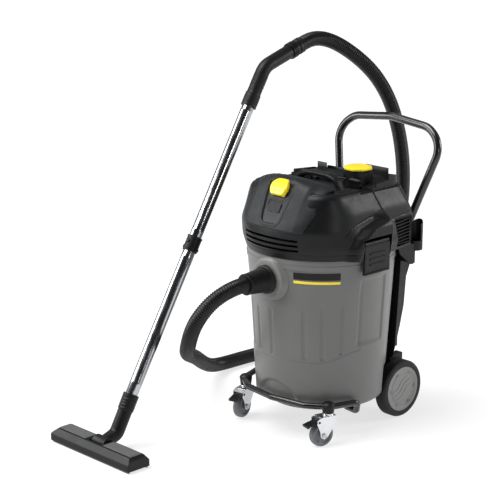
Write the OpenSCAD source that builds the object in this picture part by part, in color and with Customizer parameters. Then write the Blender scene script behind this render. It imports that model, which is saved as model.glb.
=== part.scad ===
// Wet and dry shop vacuum: wheeled tank, motor head with storage tray, push handle,
// free hose, two-piece wand with bent handle, and a wide floor nozzle.

/* [Tank] */
// Height of the tank's underside above the floor
tank_bottom = 95; // [85:5:110]
// Height of the tank's rim above the floor
tank_top = 564; // [550:2:570]
// Outer radius of the tank at the rim
tank_r_top = 226; // [222:1:228]
// Outer radius of the tank at the bottom
tank_r_bottom = 198; // [190:1:204]
// Wall thickness of the tank
tank_wall = 5; // [4:0.5:6]
// Height of the suction inlet's axis
inlet_z = 495; // [480:5:500]
// Bore radius of the inlet socket
inlet_bore_r = 31; // [29:0.5:32]

/* [Motor head] */
// Largest radius of the head, at its skirt
head_r = 240; // [236:1:244]
// Height of the skirt's widest line
skirt_z = 600; // [594:1:606]
// Height of the head's flat top
head_top = 758; // [750:1:764]
// Wall thickness of the head's covers
head_wall = 4; // [3:0.5:5]

/* [Wheels] */
// Radius of a rear wheel
rear_r = 90; // [84:1:94]
// Width of a rear wheel
rear_w = 42; // [36:1:46]
// Distance from the middle to a rear wheel's outer face
rear_face = 179; // [174:1:184]
// Distance of the rear axle behind the tank's axis
rear_axle_y = 191; // [186:1:196]
// Radius of a caster wheel
caster_r = 37.5; // [35:0.5:38]
// Width of a caster wheel
caster_w = 26; // [22:1:28]
// Distance of a caster's wheel axle from its swivel axis
caster_trail = 24; // [20:1:28]
// Angle that each caster stands turned in
caster_turn = 15; // [0:1:30]

/* [Push handle] */
// Radius of the handle's tube
handle_r = 12.5; // [11:0.5:14]
// Half the width across the handle's upper corners
handle_half = 205; // [195:1:215]
// Height of the top bar's middle
handle_top = 912; // [890:2:930]
// How far the handle leans back for each millimetre of height
handle_lean = 0.25; // [0.2:0.01:0.3]

/* [Wand and nozzle] */
// Distance of the wand's plane from the tank's axis
wand_x = 240; // [230:5:250]
// Outer radius of a steel tube
wand_r = 19.5; // [19:0.5:20]
// Bore radius of a steel tube
wand_bore_r = 18.3; // [18:0.1:18.5]
// Visible length of each steel tube
tube_length = 485; // [470:5:500]
// Angle of the wand from upright
wand_lean = 31; // [29:0.5:33]
// Length of the nozzle, side to side
nozzle_w = 360; // [340:5:370]
// Depth of the nozzle, front to back
nozzle_d = 82; // [76:1:90]

/* [Hose] */
// Outer radius of the hose
hose_r = 23.5; // [22:0.5:24]

/* [Hidden] */
// Outermost face of the head and front face of the nozzle, both from the tank's axis
shoulder_face = 242;
nozzle_front = -730;
// How far behind the tank's axis the push handle stands at a height of 800
handle_back = 288;
// Height of the sunk deck behind the front hump
deck_z = 744;
// Where the tank's axis stands, so that the origin is under the middle of the object without its hose
machine_x = (wand_x + nozzle_w / 2 - shoulder_face) / 2;
machine_y = (-nozzle_front - handle_back - handle_lean * (handle_top - 800) - handle_r) / 2;

grey = [0.42, 0.42, 0.42];
dark = [0.13, 0.13, 0.14];
black = [0.04, 0.04, 0.045];
yellow = [0.98, 0.82, 0.02];
steel = [0.75, 0.75, 0.76];
tyre_grey = [0.33, 0.34, 0.35];

fine = 96;
column_front = 205;
column_back = 241;
axle_z = rear_r;
wand_dir = [0, sin(wand_lean), cos(wand_lean)];
sleeve_end = [-wand_x, -562, 155];
tube_top = sleeve_end + 2 * tube_length * wand_dir;

// ---------------------------------------------------------------- helpers
function unit(v) = v / norm(v);
function flat(lists) = [for (one = lists) for (item = one) item];

// Points of a corner at b, rounded with radius r, between straights from a and to c
function corner(a, b, c, r, steps) =
    let (
        u = unit(a - b),
        v = unit(c - b),
        half = acos(u * v) / 2,
        centre = b + unit(u + v) * r / sin(half),
        first = b + u * r / tan(half) - centre,
        last = b + v * r / tan(half) - centre,
        turn = 180 - 2 * half
    )
    [for (i = [0:steps]) centre
        + (sin(turn * (1 - i / steps)) * first + sin(turn * i / steps) * last) / sin(turn)];

// A route through straight runs whose corners are rounded
function rounded(points, r, steps) =
    let (last = len(points) - 1)
    concat(
        [points[0]],
        flat([for (i = [1:last - 1]) corner(points[i - 1], points[i], points[i + 1], r, steps)]),
        [points[last]]
    );

// A smooth cubic curve guided by its points, from the first to the last of them
function spline_at(a, b, c, d, t) =
    (pow(1 - t, 3) * a + (3 * pow(t, 3) - 6 * t * t + 4) * b
        + (-3 * pow(t, 3) + 3 * t * t + 3 * t + 1) * c + pow(t, 3) * d) / 6;
function spline(points, steps) =
    let (
        last = len(points) - 1,
        held = concat([2 * points[0] - points[1]], points, [2 * points[last] - points[last - 1]])
    )
    concat(
        [for (i = [0:last - 1]) for (k = [0:steps - 1])
            spline_at(held[i], held[i + 1], held[i + 2], held[i + 3], k / steps)],
        [points[last]]
    );

function tangent(path, i) = unit(path[min(i + 1, len(path) - 1)] - path[max(i - 1, 0)]);
function any_side(t) = unit(cross(t, abs(t[2]) < 0.9 ? [0, 0, 1] : [1, 0, 0]));

// Side directions carried along a path without twist
function carried(path, i = 0, found = []) =
    i == len(path) ? found :
    let (
        t = tangent(path, i),
        side = i == 0 ? any_side(t) : unit(found[i - 1] - (found[i - 1] * t) * t)
    )
    carried(path, i + 1, concat(found, [side]));

// A round bar along a path
module bar_along(path, r, sides) {
    side = carried(path);
    rings = len(path);
    points = flat([for (i = [0:rings - 1])
        let (t = tangent(path, i), w = cross(t, side[i]))
        [for (k = [0:sides - 1]) path[i]
            + r * (cos(360 * k / sides) * side[i] + sin(360 * k / sides) * w)]]);
    walls = [for (i = [0:rings - 2]) for (k = [0:sides - 1])
        let (next = (k + 1) % sides)
        [i * sides + k, (i + 1) * sides + k, (i + 1) * sides + next, i * sides + next]];
    start = [for (k = [0:sides - 1]) k];
    end = [for (k = [sides - 1:-1:0]) (rings - 1) * sides + k];
    polyhedron(points, concat(walls, [start], [end]), convexity = 6);
}

// A cylinder from one point along a direction
module rod(at, along, length, r, sides = fine) {
    u = unit(along);
    translate(at)
        rotate([0, acos(u[2]), atan2(u[1], u[0])])
            cylinder(h = length, r = r, $fn = sides);
}

// A block with rounded upright edges, centred in X and Y
module slab(size, r, sides = 32) {
    linear_extrude(size[2]) rounded_oblong([size[0], size[1]], r, sides);
}

module rounded_oblong(size, r, sides = 32) {
    square([size[0] - 2 * r, size[1]], center = true);
    square([size[0], size[1] - 2 * r], center = true);
    for (x = [-1, 1]) for (y = [-1, 1])
        translate([x * (size[0] / 2 - r), y * (size[1] / 2 - r)]) circle(r = r, $fn = sides);
}

// The machine's own place in the object's frame
module place() {
    translate([machine_x, machine_y, 0]) children();
}

module both_sides() {
    children();
    mirror([1, 0, 0]) children();
}

// ---------------------------------------------------------------- tank
module tank_outside(grow = 0) {
    rotate_extrude($fn = fine)
        polygon([
            [0, tank_bottom], [tank_r_bottom - 14 + grow, tank_bottom],
            [tank_r_bottom - 4 + grow, tank_bottom + 4], [tank_r_bottom + grow, tank_bottom + 14],
            [tank_r_top + grow, tank_top], [0, tank_top],
        ]);
}

// Outer radius of the tank's wall at a height, and beyond the rim on the same slope
function tank_wall_r(z) = tank_r_bottom + (z - tank_bottom - 14) * (tank_r_top - tank_r_bottom)
    / (tank_top - tank_bottom - 14);

module wall_cone(from, height) {
    translate([0, 0, from])
        cylinder(h = height, r1 = tank_wall_r(from), r2 = tank_wall_r(from + height), $fn = fine);
}

// Room for the rear wheels in the tank's lower corners
module wheel_wells(grow) {
    for (side = [-1, 1])
        translate([side * (182 - grow), 182 - grow, tank_bottom])
            cube([100, 180, 194 + 2 * grow], center = true);
}

// A shallow band of the tank's skin
module tank_skin(depth) {
    difference() {
        tank_outside(2);
        tank_outside(-depth);
    }
}

module tank() {
    color(grey) {
        difference() {
            tank_outside();
            wheel_wells(0);
            difference() {
                rotate_extrude($fn = fine)
                    polygon([
                        [0, tank_bottom + 6], [tank_r_bottom - 20, tank_bottom + 6],
                        [tank_r_bottom - tank_wall, tank_bottom + 20],
                        [tank_r_top - tank_wall, tank_top + 1], [0, tank_top + 1],
                    ]);
                wheel_wells(tank_wall);
            }
            // Suction inlet
            rod([0, -180, inlet_z], [0, -1, 0], 60, 40);
            // Shallow channels below the side latches
            intersection() {
                tank_skin(2.5);
                translate([0, 0, 390]) cube([500, 84, 210], center = true);
            }
            // Groove over the rear axle
            rod([-120, rear_axle_y, axle_z], [1, 0, 0], 240, 9);
            // Round dip behind the bumper
            intersection() {
                tank_skin(2.5);
                rod([0, -150, 85], [0, -1, 0], 80, 95);
            }
        }
        // Rim band
        difference() {
            translate([0, 0, tank_top - 30]) cylinder(h = 26, r = tank_r_top + 2.5, $fn = fine);
            translate([0, 0, tank_top - 31]) cylinder(h = 28, r = tank_r_top - 3, $fn = fine);
            rod([0, -150, inlet_z], [0, -1, 0], 100, 68);
            translate([0, 0, tank_top - 20]) cube([500, 124, 60], center = true);
        }
    }
}

// Raised ring round the inlet, with the socket that the hose cuff turns in
module inlet_boss() {
    color(grey * 1.2)
        difference() {
            union() {
                rod([0, -150, inlet_z], [0, -1, 0], 85, 39.8);
                difference() {
                    union() {
                        rod([0, -190, inlet_z], [0, -1, 0], 37, 64);
                        rod([0, -190, inlet_z], [0, -1, 0], 44, 58);
                    }
                    wall_cone(inlet_z - 95, 190);
                }
            }
            rod([0, -149, inlet_z], [0, -1, 0], 90, inlet_bore_r);
        }
}

// Bent plate inside the tank that turns the incoming air downwards
module inlet_deflector() {
    color(dark)
        difference() {
            translate([-45, -149.5, inlet_z - 60]) cube([90, 38, 105]);
            translate([-41, -151, inlet_z - 61]) cube([82, 34, 102]);
        }
}

// Blank plate on the tank
module label_plate() {
    color(black)
        intersection() {
            difference() {
                tank_outside(1.5);
                tank_outside();
            }
            rotate([0, 0, -48]) translate([150, -75, 494]) cube([100, 150, 34]);
        }
}

// ---------------------------------------------------------------- chassis
module base_ring() {
    color(black)
        difference() {
            union() {
                translate([0, 0, tank_bottom - 10])
                    cylinder(h = 10, r = tank_r_bottom - 33, $fn = fine);
                // Rear cross block that carries the axle
                translate([-106, 150, 70]) cube([212, 91, 25]);
            }
            translate([0, 0, tank_bottom - 13]) cylinder(h = 14, r = 130, $fn = fine);
            rod([-108, rear_axle_y, axle_z], [1, 0, 0], 216, 8);
        }
}

// Uprights behind the tank, joined by a back panel
module rear_columns() {
    color(black) both_sides()
        difference() {
            union() {
                intersection() {
                    translate([102, 0, 0]) rotate([90, 0, 90]) linear_extrude(48)
                        polygon([
                            [column_front, 558], [column_back, 558], [column_back, 186],
                            [181, 186], [181, 240], [197, 470], [199, 525], [column_front, 531],
                        ]);
                    // The outer edge leans in towards the wheels
                    rotate([0, 0, 45]) rotate([90, 0, 0]) translate([0, 0, -200])
                        linear_extrude(400)
                            polygon([
                                [0, 100], [208, 100], [249, 290], [260, 352], [266, 444],
                                [290, 520], [290, 700], [0, 700],
                            ]);
                }
                translate([106, 180, 70]) cube([25, 60, 119]);
                translate([-1, column_front + 24, 205]) cube([110, 11, 318]);
            }
            handle_leg_hole();
            rod([100, rear_axle_y, axle_z], [1, 0, 0], 50, 8);
        }
}

module handle_leg_hole() {
    foot = handle_leg(handle_base_z);
    top = handle_leg(590);
    rod(top, foot - top, norm(foot - top), handle_r);
}

handle_base_z = 532;
handle_spread = 0.29;
function handle_y(z) = handle_back + handle_lean * (z - 800);
function handle_leg(z) = [handle_half - handle_spread * (830 - z), handle_y(z), z];

module column_screws() {
    color(steel) both_sides()
        for (z = [262, 510])
            rod([84, column_back, z], [0, 1, 0], 4, 7, 24);
}

socket = [176, -149];

// Tube that guards the front and carries the casters
module bumper_tube() {
    half = [
        [150, -40, 84], [196, -46, 84], [213, -60, 120], [socket[0] + 8, socket[1], 120],
        [120, -196, 120], [0, -213, 120],
    ];
    other = [for (i = [4:-1:0]) [-half[i][0], half[i][1], half[i][2]]];
    color(black) bar_along(rounded(concat(half, other), 16, 4), 9.5, 14);
}

module caster_sockets() {
    color(black) both_sides()
        difference() {
            translate([socket[0], socket[1], 101]) {
                cylinder(h = 25, r1 = 17, r2 = 20, $fn = fine);
                translate([0, 0, 25]) cylinder(h = 7, r1 = 20, r2 = 13, $fn = fine);
            }
            translate([socket[0], socket[1], 100]) cylinder(h = 10, r = 8.05, $fn = fine);
        }
}

// ---------------------------------------------------------------- casters
module at_caster(side) {
    translate([side * socket[0], socket[1], 0]) rotate([0, 0, -side * caster_turn]) children();
}

module caster_fork(side) {
    color(steel) at_caster(side)
        difference() {
            union() {
                translate([0, 0, 90]) cylinder(h = 19.6, r = 8, $fn = fine);
                translate([0, 0, 94.5]) cylinder(h = 6.2, r = 17, $fn = fine);
                translate([-19, -34, 90]) cube([38, 52, 5]);
                for (x = [-19, 16.5]) translate([x, 0, 0]) rotate([90, 0, 90])
                    linear_extrude(2.5)
                        polygon([
                            [18, 95], [18, 74], [-caster_trail + 12, caster_r - 6],
                            [-caster_trail, caster_r - 12], [-caster_trail - 12, caster_r - 4],
                            [-caster_trail - 14, caster_r + 12], [-48, 74], [-48, 88], [-34, 95],
                        ]);
            }
            translate([-25, -caster_trail, caster_r]) rotate([0, 90, 0])
                cylinder(h = 50, r = 4, $fn = fine);
            translate([-25, pedal_pivot[1], pedal_pivot[2]]) rotate([0, 90, 0])
                cylinder(h = 50, r = 3.55, $fn = fine);
        }
}

module caster_wheel(side) {
    color(tyre_grey) at_caster(side)
        translate([0, -caster_trail, caster_r]) rotate([0, 90, 0])
            rotate_extrude($fn = fine)
                polygon([
                    [4.05, -15.5], [9, -15.5], [9, -9], [24, -9], [28, -caster_w / 2],
                    [34, -caster_w / 2], [caster_r, -8], [caster_r, 8], [34, caster_w / 2],
                    [28, caster_w / 2], [24, 9], [9, 9], [9, 15.5], [4.05, 15.5],
                ]);
}

module caster_axle(side) {
    color(steel) at_caster(side)
        translate([0, -caster_trail, caster_r]) rotate([0, 90, 0]) {
            translate([0, 0, -22]) cylinder(h = 44, r = 4, $fn = fine);
            translate([0, 0, 19]) cylinder(h = 5, r = 8, $fn = 6);
            translate([0, 0, -24]) cylinder(h = 5, r = 7.5, $fn = fine);
        }
}

pedal_pivot = [0, -41, 81];

module brake_pedal(side) {
    color(dark) at_caster(side)
        translate(pedal_pivot) {
            rotate([0, 90, 0]) translate([0, 0, -20]) cylinder(h = 40, r = 3.5, $fn = fine);
            rotate([14, 0, 0]) translate([-15, -34, -3]) cube([30, 36, 5]);
            rotate([14, 0, 0]) translate([-15, -40, -5]) cube([30, 7, 7]);
        }
}

// ---------------------------------------------------------------- rear wheels
module rear_axle() {
    color(steel)
        rod([7 - rear_face, rear_axle_y, axle_z], [1, 0, 0], 2 * rear_face - 14, 8);
}

module rear_tyre() {
    half = rear_w / 2;
    color(black)
        translate([rear_face - half, rear_axle_y, axle_z]) rotate([0, 90, 0])
            rotate_extrude($fn = fine)
                polygon([
                    [70, -half + 2], [80, -half], [87, -half + 4], [rear_r, -half + 10],
                    [rear_r, half - 10], [87, half - 4], [80, half], [70, half - 2],
                ]);
}

module rear_hub() {
    half = rear_w / 2;
    color(grey * 1.3)
        translate([rear_face - half, rear_axle_y, axle_z]) rotate([0, 90, 0])
            rotate_extrude($fn = fine)
                polygon([
                    [8.06, -half + 1], [16, -half + 1], [16, -half + 6], [60, -half + 6],
                    [60, -half + 2], [70, -half + 2], [70, half - 2], [62, half - 2],
                    [58, half - 3], [0, half - 3], [0, half - 5.5], [8.06, half - 5.5],
                ]);
}

// ---------------------------------------------------------------- push handle
module push_handle() {
    elbow = [handle_half + 8, handle_y(856), 856];
    shoulder = [150, handle_y(900), 900];
    crown = [0, handle_y(handle_top), handle_top + 3];
    half = [handle_leg(handle_base_z), elbow, shoulder, crown];
    other = [for (i = [2:-1:0]) [-half[i][0], half[i][1], half[i][2]]];
    color(black) bar_along(rounded(concat(half, other), 52, 7), handle_r - 0.02, 20);
}

holder = [184, 222];
holder_foot = 538;

// Upright sockets for the foot of a wand tube or a small tool
module tool_holders() {
    color(black) both_sides()
        difference() {
            union() {
                translate([holder[0], holder[1], holder_foot]) cylinder(h = 30, r = 24, $fn = fine);
                translate([150, 206, holder_foot]) cube([34, 32, 30]);
                translate([150, 238, holder_foot + 30]) rotate([90, 0, 0]) linear_extrude(32)
                    polygon([[0, -60], [46, -20], [46, 0], [0, 0]]);
                // Rear shell with a round top
                intersection() {
                    translate([holder[0], holder[1], holder_foot])
                        cylinder(h = 92, r = 24, $fn = fine);
                    translate([0, holder[1], 0]) union() {
                        translate([holder[0] - 24, 0, holder_foot + 10]) cube([48, 30, 58]);
                        rod([holder[0], 0, holder_foot + 68], [0, 1, 0], 30, 24);
                    }
                }
                // Gusset below the head's rear corner
                translate([193, 0, 0]) rotate([90, 0, 90]) linear_extrude(6)
                    polygon([[128, 562], [200, 562], [200, 497], [186, 499], [136, 541]]);
                translate([150, 194, 500]) cube([49, 13, 62]);
            }
            translate([holder[0], holder[1], holder_foot + 4]) cylinder(h = 27, r = 20.5, $fn = fine);
            translate([holder[0], holder[1], holder_foot + 30]) cylinder(h = 84, r = 21.5, $fn = fine);
        }
}

// Hook that the mains lead is wound on
module cable_hook() {
    color(black) translate([0, column_back, 430]) {
        translate([-12, 0, 0]) cube([24, 10, 60]);
        translate([-12, 10, 40]) cube([24, 34, 10]);
        translate([-12, 36, 40]) cube([24, 8, 34]);
        translate([-32, 0, 10]) cube([64, 10, 12]);
    }
}

// ---------------------------------------------------------------- head
// Plan outline of the head's upper part
module head_plan(half, front, back, r, rear_r = 16) {
    hull()
        for (x = [-1, 1]) {
            translate([x * (half - r), -front + r]) circle(r = r, $fn = 32);
            translate([x * (half - rear_r), back - rear_r]) circle(r = rear_r, $fn = 32);
        }
}

module head_form(shrink = 0) {
    lower = tank_top + 0.4;
    hull() {
        translate([0, 0, lower]) cylinder(h = 1, r = tank_r_top + 2 - shrink, $fn = 64);
        translate([0, 0, skirt_z]) cylinder(h = 1, r = head_r - shrink, $fn = 64);
        translate([0, 0, 652]) linear_extrude(1)
            head_plan(208 - shrink, 230 - shrink, 188 - shrink, 162);
        translate([0, 0, 700]) linear_extrude(1)
            head_plan(198 - shrink, 207 - shrink, 187 - shrink, 142, 34);
        translate([0, 0, 742 - shrink]) linear_extrude(1)
            head_plan(176 - shrink, 178 - shrink, 184 - shrink, 82, 46);
        translate([0, 0, head_top - 1 - shrink]) linear_extrude(1)
            head_plan(160 - shrink, 160 - shrink, 180 - shrink, 60, 46);
        translate([-205 + shrink, 120, lower + 1.5])
            cube([410 - 2 * shrink, 66 - shrink, 104]);
    }
}

// Hump behind the front latch
module front_hump(shrink = 0) {
    depth = 98 + shrink;
    hull() {
        translate([-136 + shrink, -174 + shrink, 738]) cube([272 - 2 * shrink, 174 - depth, 1]);
        translate([-120 + shrink, -156 + shrink, 768 - shrink])
            cube([240 - 2 * shrink, 156 - depth, 1]);
        translate([-95 + shrink, -138 + shrink, 778 - shrink])
            cube([190 - 2 * shrink, 138 - depth, 1]);
        translate([-50 + shrink, -122 + shrink, 784 - shrink])
            cube([100 - 2 * shrink, 122 - depth, 1]);
    }
}

// Everything above the sunk deck behind the front hump
module above_deck(grow = 0) {
    translate([0, 54, deck_z - grow]) slab([296 + 2 * grow, 292 + 2 * grow, 80], 20);
    translate([-250, -20 - grow, deck_z - grow]) cube([500, 300, 80]);
}

// Shoulder over a side latch
module latch_shoulder() {
    hull() {
        translate([200, -112, 566]) cube([16, 168, 40]);
        translate([200, -76, 566]) cube([36, 130, 66]);
        translate([200, -68, 626]) cube([shoulder_face - 200, 120, 8]);
        translate([200, -44, 668]) cube([30, 96, 4]);
        translate([170, -6, 708]) cube([28, 58, 4]);
    }
}

module latch_bays() {
    for (side = [-1, 1])
        translate([side * 263, -11.5, 590]) cube([80, 119, 76], center = true);
}

module vent_bays() {
    for (side = [-1, 1])
        translate([side * 205, 137, 614]) cube([40, 80, 84], center = true);
}

module rear_bay() {
    translate([-140, 54, 690]) cube([280, 112, 100]);
}

module switch_bay() {
    translate([-34, -240, 664]) cube([68, 80, 66]);
}

module head_shell() {
    color(dark)
        difference() {
            union() {
                head_form();
                both_sides() latch_shoulder();
                // Raised rims beside the carry handle
                both_sides() translate([150, -92, 750]) cube([11, 64, 15]);
            }
            difference() {
                head_form(head_wall);
                above_deck(head_wall);
            }
            difference() {
                above_deck();
                // Lugs of the cover's hinge
                translate([-60, 31, deck_z - 1]) cube([120, 16, 28]);
            }
            translate([0, 0, tank_top - 20]) cylinder(h = 25, r = tank_r_top - 2, $fn = fine);
            rear_bay();
            // Louvres across the front of the skirt
            for (k = [0:2])
                translate([-107, -260, 591 + 15 * k]) cube([214, 60, 7]);
            switch_bay();
            vent_bays();
            latch_bays();
            hinge_pins(0);
            rod([-120, 170, 640], [0, 1, 0], 30, 13.2);
        }
}

panel_edge = [
    [-112, -300], [112, -300], [112, -200], [142, -160], [150, -98],
    [-150, -98], [-142, -160], [-112, -200],
];

// Sloping front cover between the louvres and the latch
module front_panel() {
    color(dark * 1.3)
        difference() {
            intersection() {
                union() {
                    head_form(-3);
                    front_hump();
                }
                translate([0, 0, 648]) linear_extrude(160) polygon(panel_edge);
            }
            head_form(-0.05);
            front_hump(head_wall);
            switch_bay();
        }
}

switch_slope = 27;

// Everything in front of the switch's sloping face
module before_switch() {
    translate([-60, -222, 664]) rotate([-switch_slope, 0, 0])
        translate([0, -100, -40]) cube([120, 100, 160]);
}

// Frame round the switch, with a plain field below it
module switch_frame() {
    color(black)
        difference() {
            translate([-33.7, -224, 664.3]) cube([67.4, 63, 65.4]);
            translate([-24, -225, 690]) cube([48, 44, 34]);
            before_switch();
        }
}

switch_pivot = [0, -201, 707];

module power_switch() {
    color(tyre_grey * 1.4)
        translate(switch_pivot) rotate([-switch_slope, 0, 0]) {
            rod([-23.5, 4, 0], [1, 0, 0], 47, 5, 48);
            rotate([-5, 0, 0]) translate([-23.5, -3, -14]) cube([47, 7, 28]);
        }
}

latch_pivot = [0, -150, 782];

module front_latch() {
    color(yellow) {
        rod(latch_pivot - [18, 0, 0], [1, 0, 0], 36, 4);
        difference() {
            hull() {
                translate([-30, -197, 748]) rotate([35, 0, 0]) cube([60, 8, 8]);
                translate([-34, -189, 766]) cube([68, 8, 7]);
                translate([-18, -160, 778]) cube([36, 10, 8]);
            }
            front_hump(-0.4);
            head_form(-3.4);
        }
    }
}

module carry_handle() {
    foot = deck_z - 8;
    route = rounded([
        [-96, -12, foot], [-70, -12, 776], [0, -12, 781], [70, -12, 776], [96, -12, foot],
    ], 22, 5);
    color(dark)
        difference() {
            bar_along(route, 11, 20);
            translate([-200, -60, deck_z - 60]) cube([400, 100, 60]);
        }
}

module side_vents() {
    color(black) both_sides()
        translate([188.5, 99, 574])
            difference() {
                cube([17, 76, 80]);
                for (k = [0:5]) translate([5, 3, 5 + 12.5 * k]) cube([14, 70, 7]);
            }
}

// Plate that carries the motors and closes the tank
module motor_plate() {
    color(black)
        difference() {
            translate([0, 0, tank_top + 1]) cylinder(h = 6, r = tank_r_top - 2.3, $fn = fine);
            for (x = [-80, 80]) translate([x, -60, tank_top]) cylinder(h = 8, r = 24, $fn = fine);
            translate([-110, 60, tank_top]) cube([220, 100, 8]);
        }
}

module rim_seal() {
    color(black)
        rotate_extrude($fn = fine)
            polygon([
                [tank_r_top - tank_wall - 1, tank_top + 0.1], [tank_r_top - 2.4, tank_top + 0.1],
                [tank_r_top - 2.4, tank_top + 1], [tank_r_top - tank_wall - 1, tank_top + 1],
            ]);
}

cover_hinge = [0, 40, 766];
latch_hinge = [231, 611];
button_at = [75, 78];

// Pins of the cover and of the side latches, or the holes that they run in
module hinge_pins(slack) {
    rod([-125, cover_hinge[1], cover_hinge[2]], [1, 0, 0], 250, 3 + slack);
    for (side = [-1, 1])
        rod([side * latch_hinge[0], -78, latch_hinge[1]], [0, 1, 0], 133, 2.5 + slack);
}

// Plan outline of the rear cover
module cover_outline(inset = 0) {
    intersection() {
        head_plan(168 - inset, 120, 177 - inset, 60, 46 - inset);
        translate([-200, cover_hinge[1]]) square([400, 200]);
    }
}

// Part of the tray's wall between two X positions, below a profile seen from the side
module tray_wall(from, to, profile) {
    intersection() {
        linear_extrude(60)
            difference() {
                cover_outline();
                cover_outline(5);
            }
        translate([from, 0, 0]) rotate([90, 0, 90]) linear_extrude(to - from) polygon(profile);
    }
}

// Hinged cover over the filter, with the raised walls of the storage tray
module filter_cover() {
    color(dark)
        difference() {
            union() {
                translate([0, 0, deck_z + 0.4]) {
                    linear_extrude(8) cover_outline();
                    tray_wall(20, 200, [
                        [58, 1], [58, 18], [112, 23], [112, 41], [120, 41], [150, 34], [158, 25],
                        [200, 24], [200, 1],
                    ]);
                    tray_wall(-200, -20, [[50, 1], [50, 17], [145, 10], [145, 1]]);
                    tray_wall(-136, 21, [[160, 1], [160, 15], [200, 15], [200, 1]]);
                    translate([22, 173, 2]) cube([89, 4, 40]);
                    translate([-158, 148, 2]) cube([36, 5, 26]);
                }
                translate([button_at[0], button_at[1], deck_z + 2])
                    cylinder(h = 42, r = 44, $fn = fine);
                for (x = [-120, 80]) {
                    rod([x, cover_hinge[1], cover_hinge[2]], [1, 0, 0], 40, 7);
                    translate([x, cover_hinge[1] - 5, deck_z + 3]) cube([40, 10, 16]);
                }
            }
            translate([button_at[0], button_at[1], deck_z - 1]) cylinder(h = 40, r = 37, $fn = fine);
            translate([button_at[0], button_at[1], deck_z + 30]) cylinder(h = 16, r = 10.05, $fn = fine);
            hinge_pins(0.05);
            translate([-64, 28, deck_z - 1]) cube([128, 22, 40]);
        }
}

// Octagonal push button that jolts the filter clean
module filter_button() {
    color(yellow)
        translate([button_at[0], button_at[1], head_top + 36])
            hull() {
                rotate([0, 0, 22.5]) cylinder(h = 5.5, r = 45, $fn = 8);
                rotate([0, 0, 22.5]) translate([0, 0, 8.5]) cylinder(h = 1, r = 33, $fn = 8);
            }
    color(steel)
        translate([button_at[0], button_at[1], head_top + 6]) cylinder(h = 31, r = 10, $fn = fine);
}

module button_spring() {
    color(steel)
        translate([button_at[0], button_at[1], head_top + 30])
            difference() {
                cylinder(h = 6, r = 17, $fn = fine);
                translate([0, 0, -1]) cylinder(h = 8, r = 13, $fn = fine);
            }
}

module flat_filter() {
    pleats = 20;
    pitch = 11;
    color([0.88, 0.86, 0.8])
        for (k = [0:pleats - 1])
            translate([-pleats * pitch / 2 + k * pitch + 1, 64, 694]) cube([pitch - 2.5, 92, 44]);
}

// Filter holder on a duct that stands on the motor plate
module filter_frame() {
    color(dark)
        difference() {
            union() {
                translate([0, 110, tank_top + 7]) slab([208, 84, 119], 8);
                translate([0, 110, 686]) slab([244, 108, 52], 8);
            }
            translate([0, 110, 694]) slab([224, 94, 60], 4);
            translate([0, 110, tank_top]) slab([200, 76, 160], 4);
        }
}

module motor_housings() {
    color(steel) for (side = [-1, 1])
        difference() {
            union() {
                translate([side * 80, -60, tank_top + 7]) cylinder(h = 40, r = 64, $fn = fine);
                translate([side * 80, -60, tank_top + 47]) cylinder(h = 62, r = 44, $fn = fine);
            }
            translate([side * 80, -60, tank_top + 6]) cylinder(h = 4, r = 24, $fn = fine);
            translate([side * 80, -60, tank_top + 9]) cylinder(h = 36, r = 60, $fn = fine);
            translate([side * 80, -60, tank_top + 20]) cylinder(h = 80, r = 6.05, $fn = fine);
            translate([side * 80, -60, tank_top + 54]) cylinder(h = 49, r = 38, $fn = fine);
        }
}

module fan(side) {
    color(steel)
        translate([side * 80, -60, 0]) {
            translate([0, 0, tank_top + 12]) cylinder(h = 86, r = 6, $fn = fine);
            translate([0, 0, tank_top + 14]) cylinder(h = 3, r = 56, $fn = fine);
            translate([0, 0, tank_top + 36]) cylinder(h = 3, r = 56, $fn = fine);
            for (k = [0:7]) rotate([0, 0, 45 * k])
                translate([14, -1.2, tank_top + 16]) cube([40, 2.4, 22]);
            translate([0, 0, tank_top + 60]) cylinder(h = 36, r = 28, $fn = fine);
        }
}

module float_cage() {
    color(dark)
        difference() {
            translate([0, -60, tank_top - 78]) cylinder(h = 79, r = 46, $fn = fine);
            translate([0, -60, tank_top - 75]) cylinder(h = 80, r = 43, $fn = fine);
            for (k = [0:2])
                translate([0, -60, tank_top - 66]) rotate([0, 0, 30 + 60 * k])
                    translate([-60, -9, 0]) cube([120, 18, 50]);
        }
}

module float_valve() {
    color([0.9, 0.45, 0.1])
        translate([0, -60, tank_top - 74.7]) {
            cylinder(h = 34, r = 30, $fn = fine);
            translate([0, 0, 34]) cylinder(h = 6, r = 22, $fn = fine);
        }
}

module control_box() {
    color([0.75, 0.73, 0.68]) translate([-60, -20, tank_top + 120]) cube([120, 44, 36]);
    color([0.1, 0.35, 0.2]) translate([-56, -16, tank_top + 156]) cube([112, 36, 2]);
}

module cable_gland() {
    color(black)
        difference() {
            translate([-120, 176, 640]) rotate([-90, 0, 0]) {
                cylinder(h = 12, r = 13, $fn = fine);
                translate([0, 0, 12]) cylinder(h = 14, r1 = 12, r2 = 8, $fn = fine);
            }
            rod([-120, 170, 640], [0, 1, 0], 40, 4.5);
        }
}

module head_screws() {
    color(black) both_sides()
        for (y = [-70, 20])
            translate([132, y, deck_z]) cylinder(h = 2.5, r = 6, $fn = 24);
}

// ---------------------------------------------------------------- side latches
module side_latch() {
    color(black)
        difference() {
            union() {
                rod([latch_hinge[0], -64, latch_hinge[1]], [0, 1, 0], 105, 6);
                translate([228, -66, 519]) cube([10, 109, 86]);
                translate([228, -64, 600]) cube([8, 105, 10]);
                for (k = [0:2]) translate([237, -44, 545 + 16 * k]) cube([3.5, 66, 5]);
            }
            translate([226, -36, 515]) cube([7, 50, 22]);
            rod([latch_hinge[0], -78, latch_hinge[1]], [0, 1, 0], 133, 2.55);
            tank_outside(3);
        }
}

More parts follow.
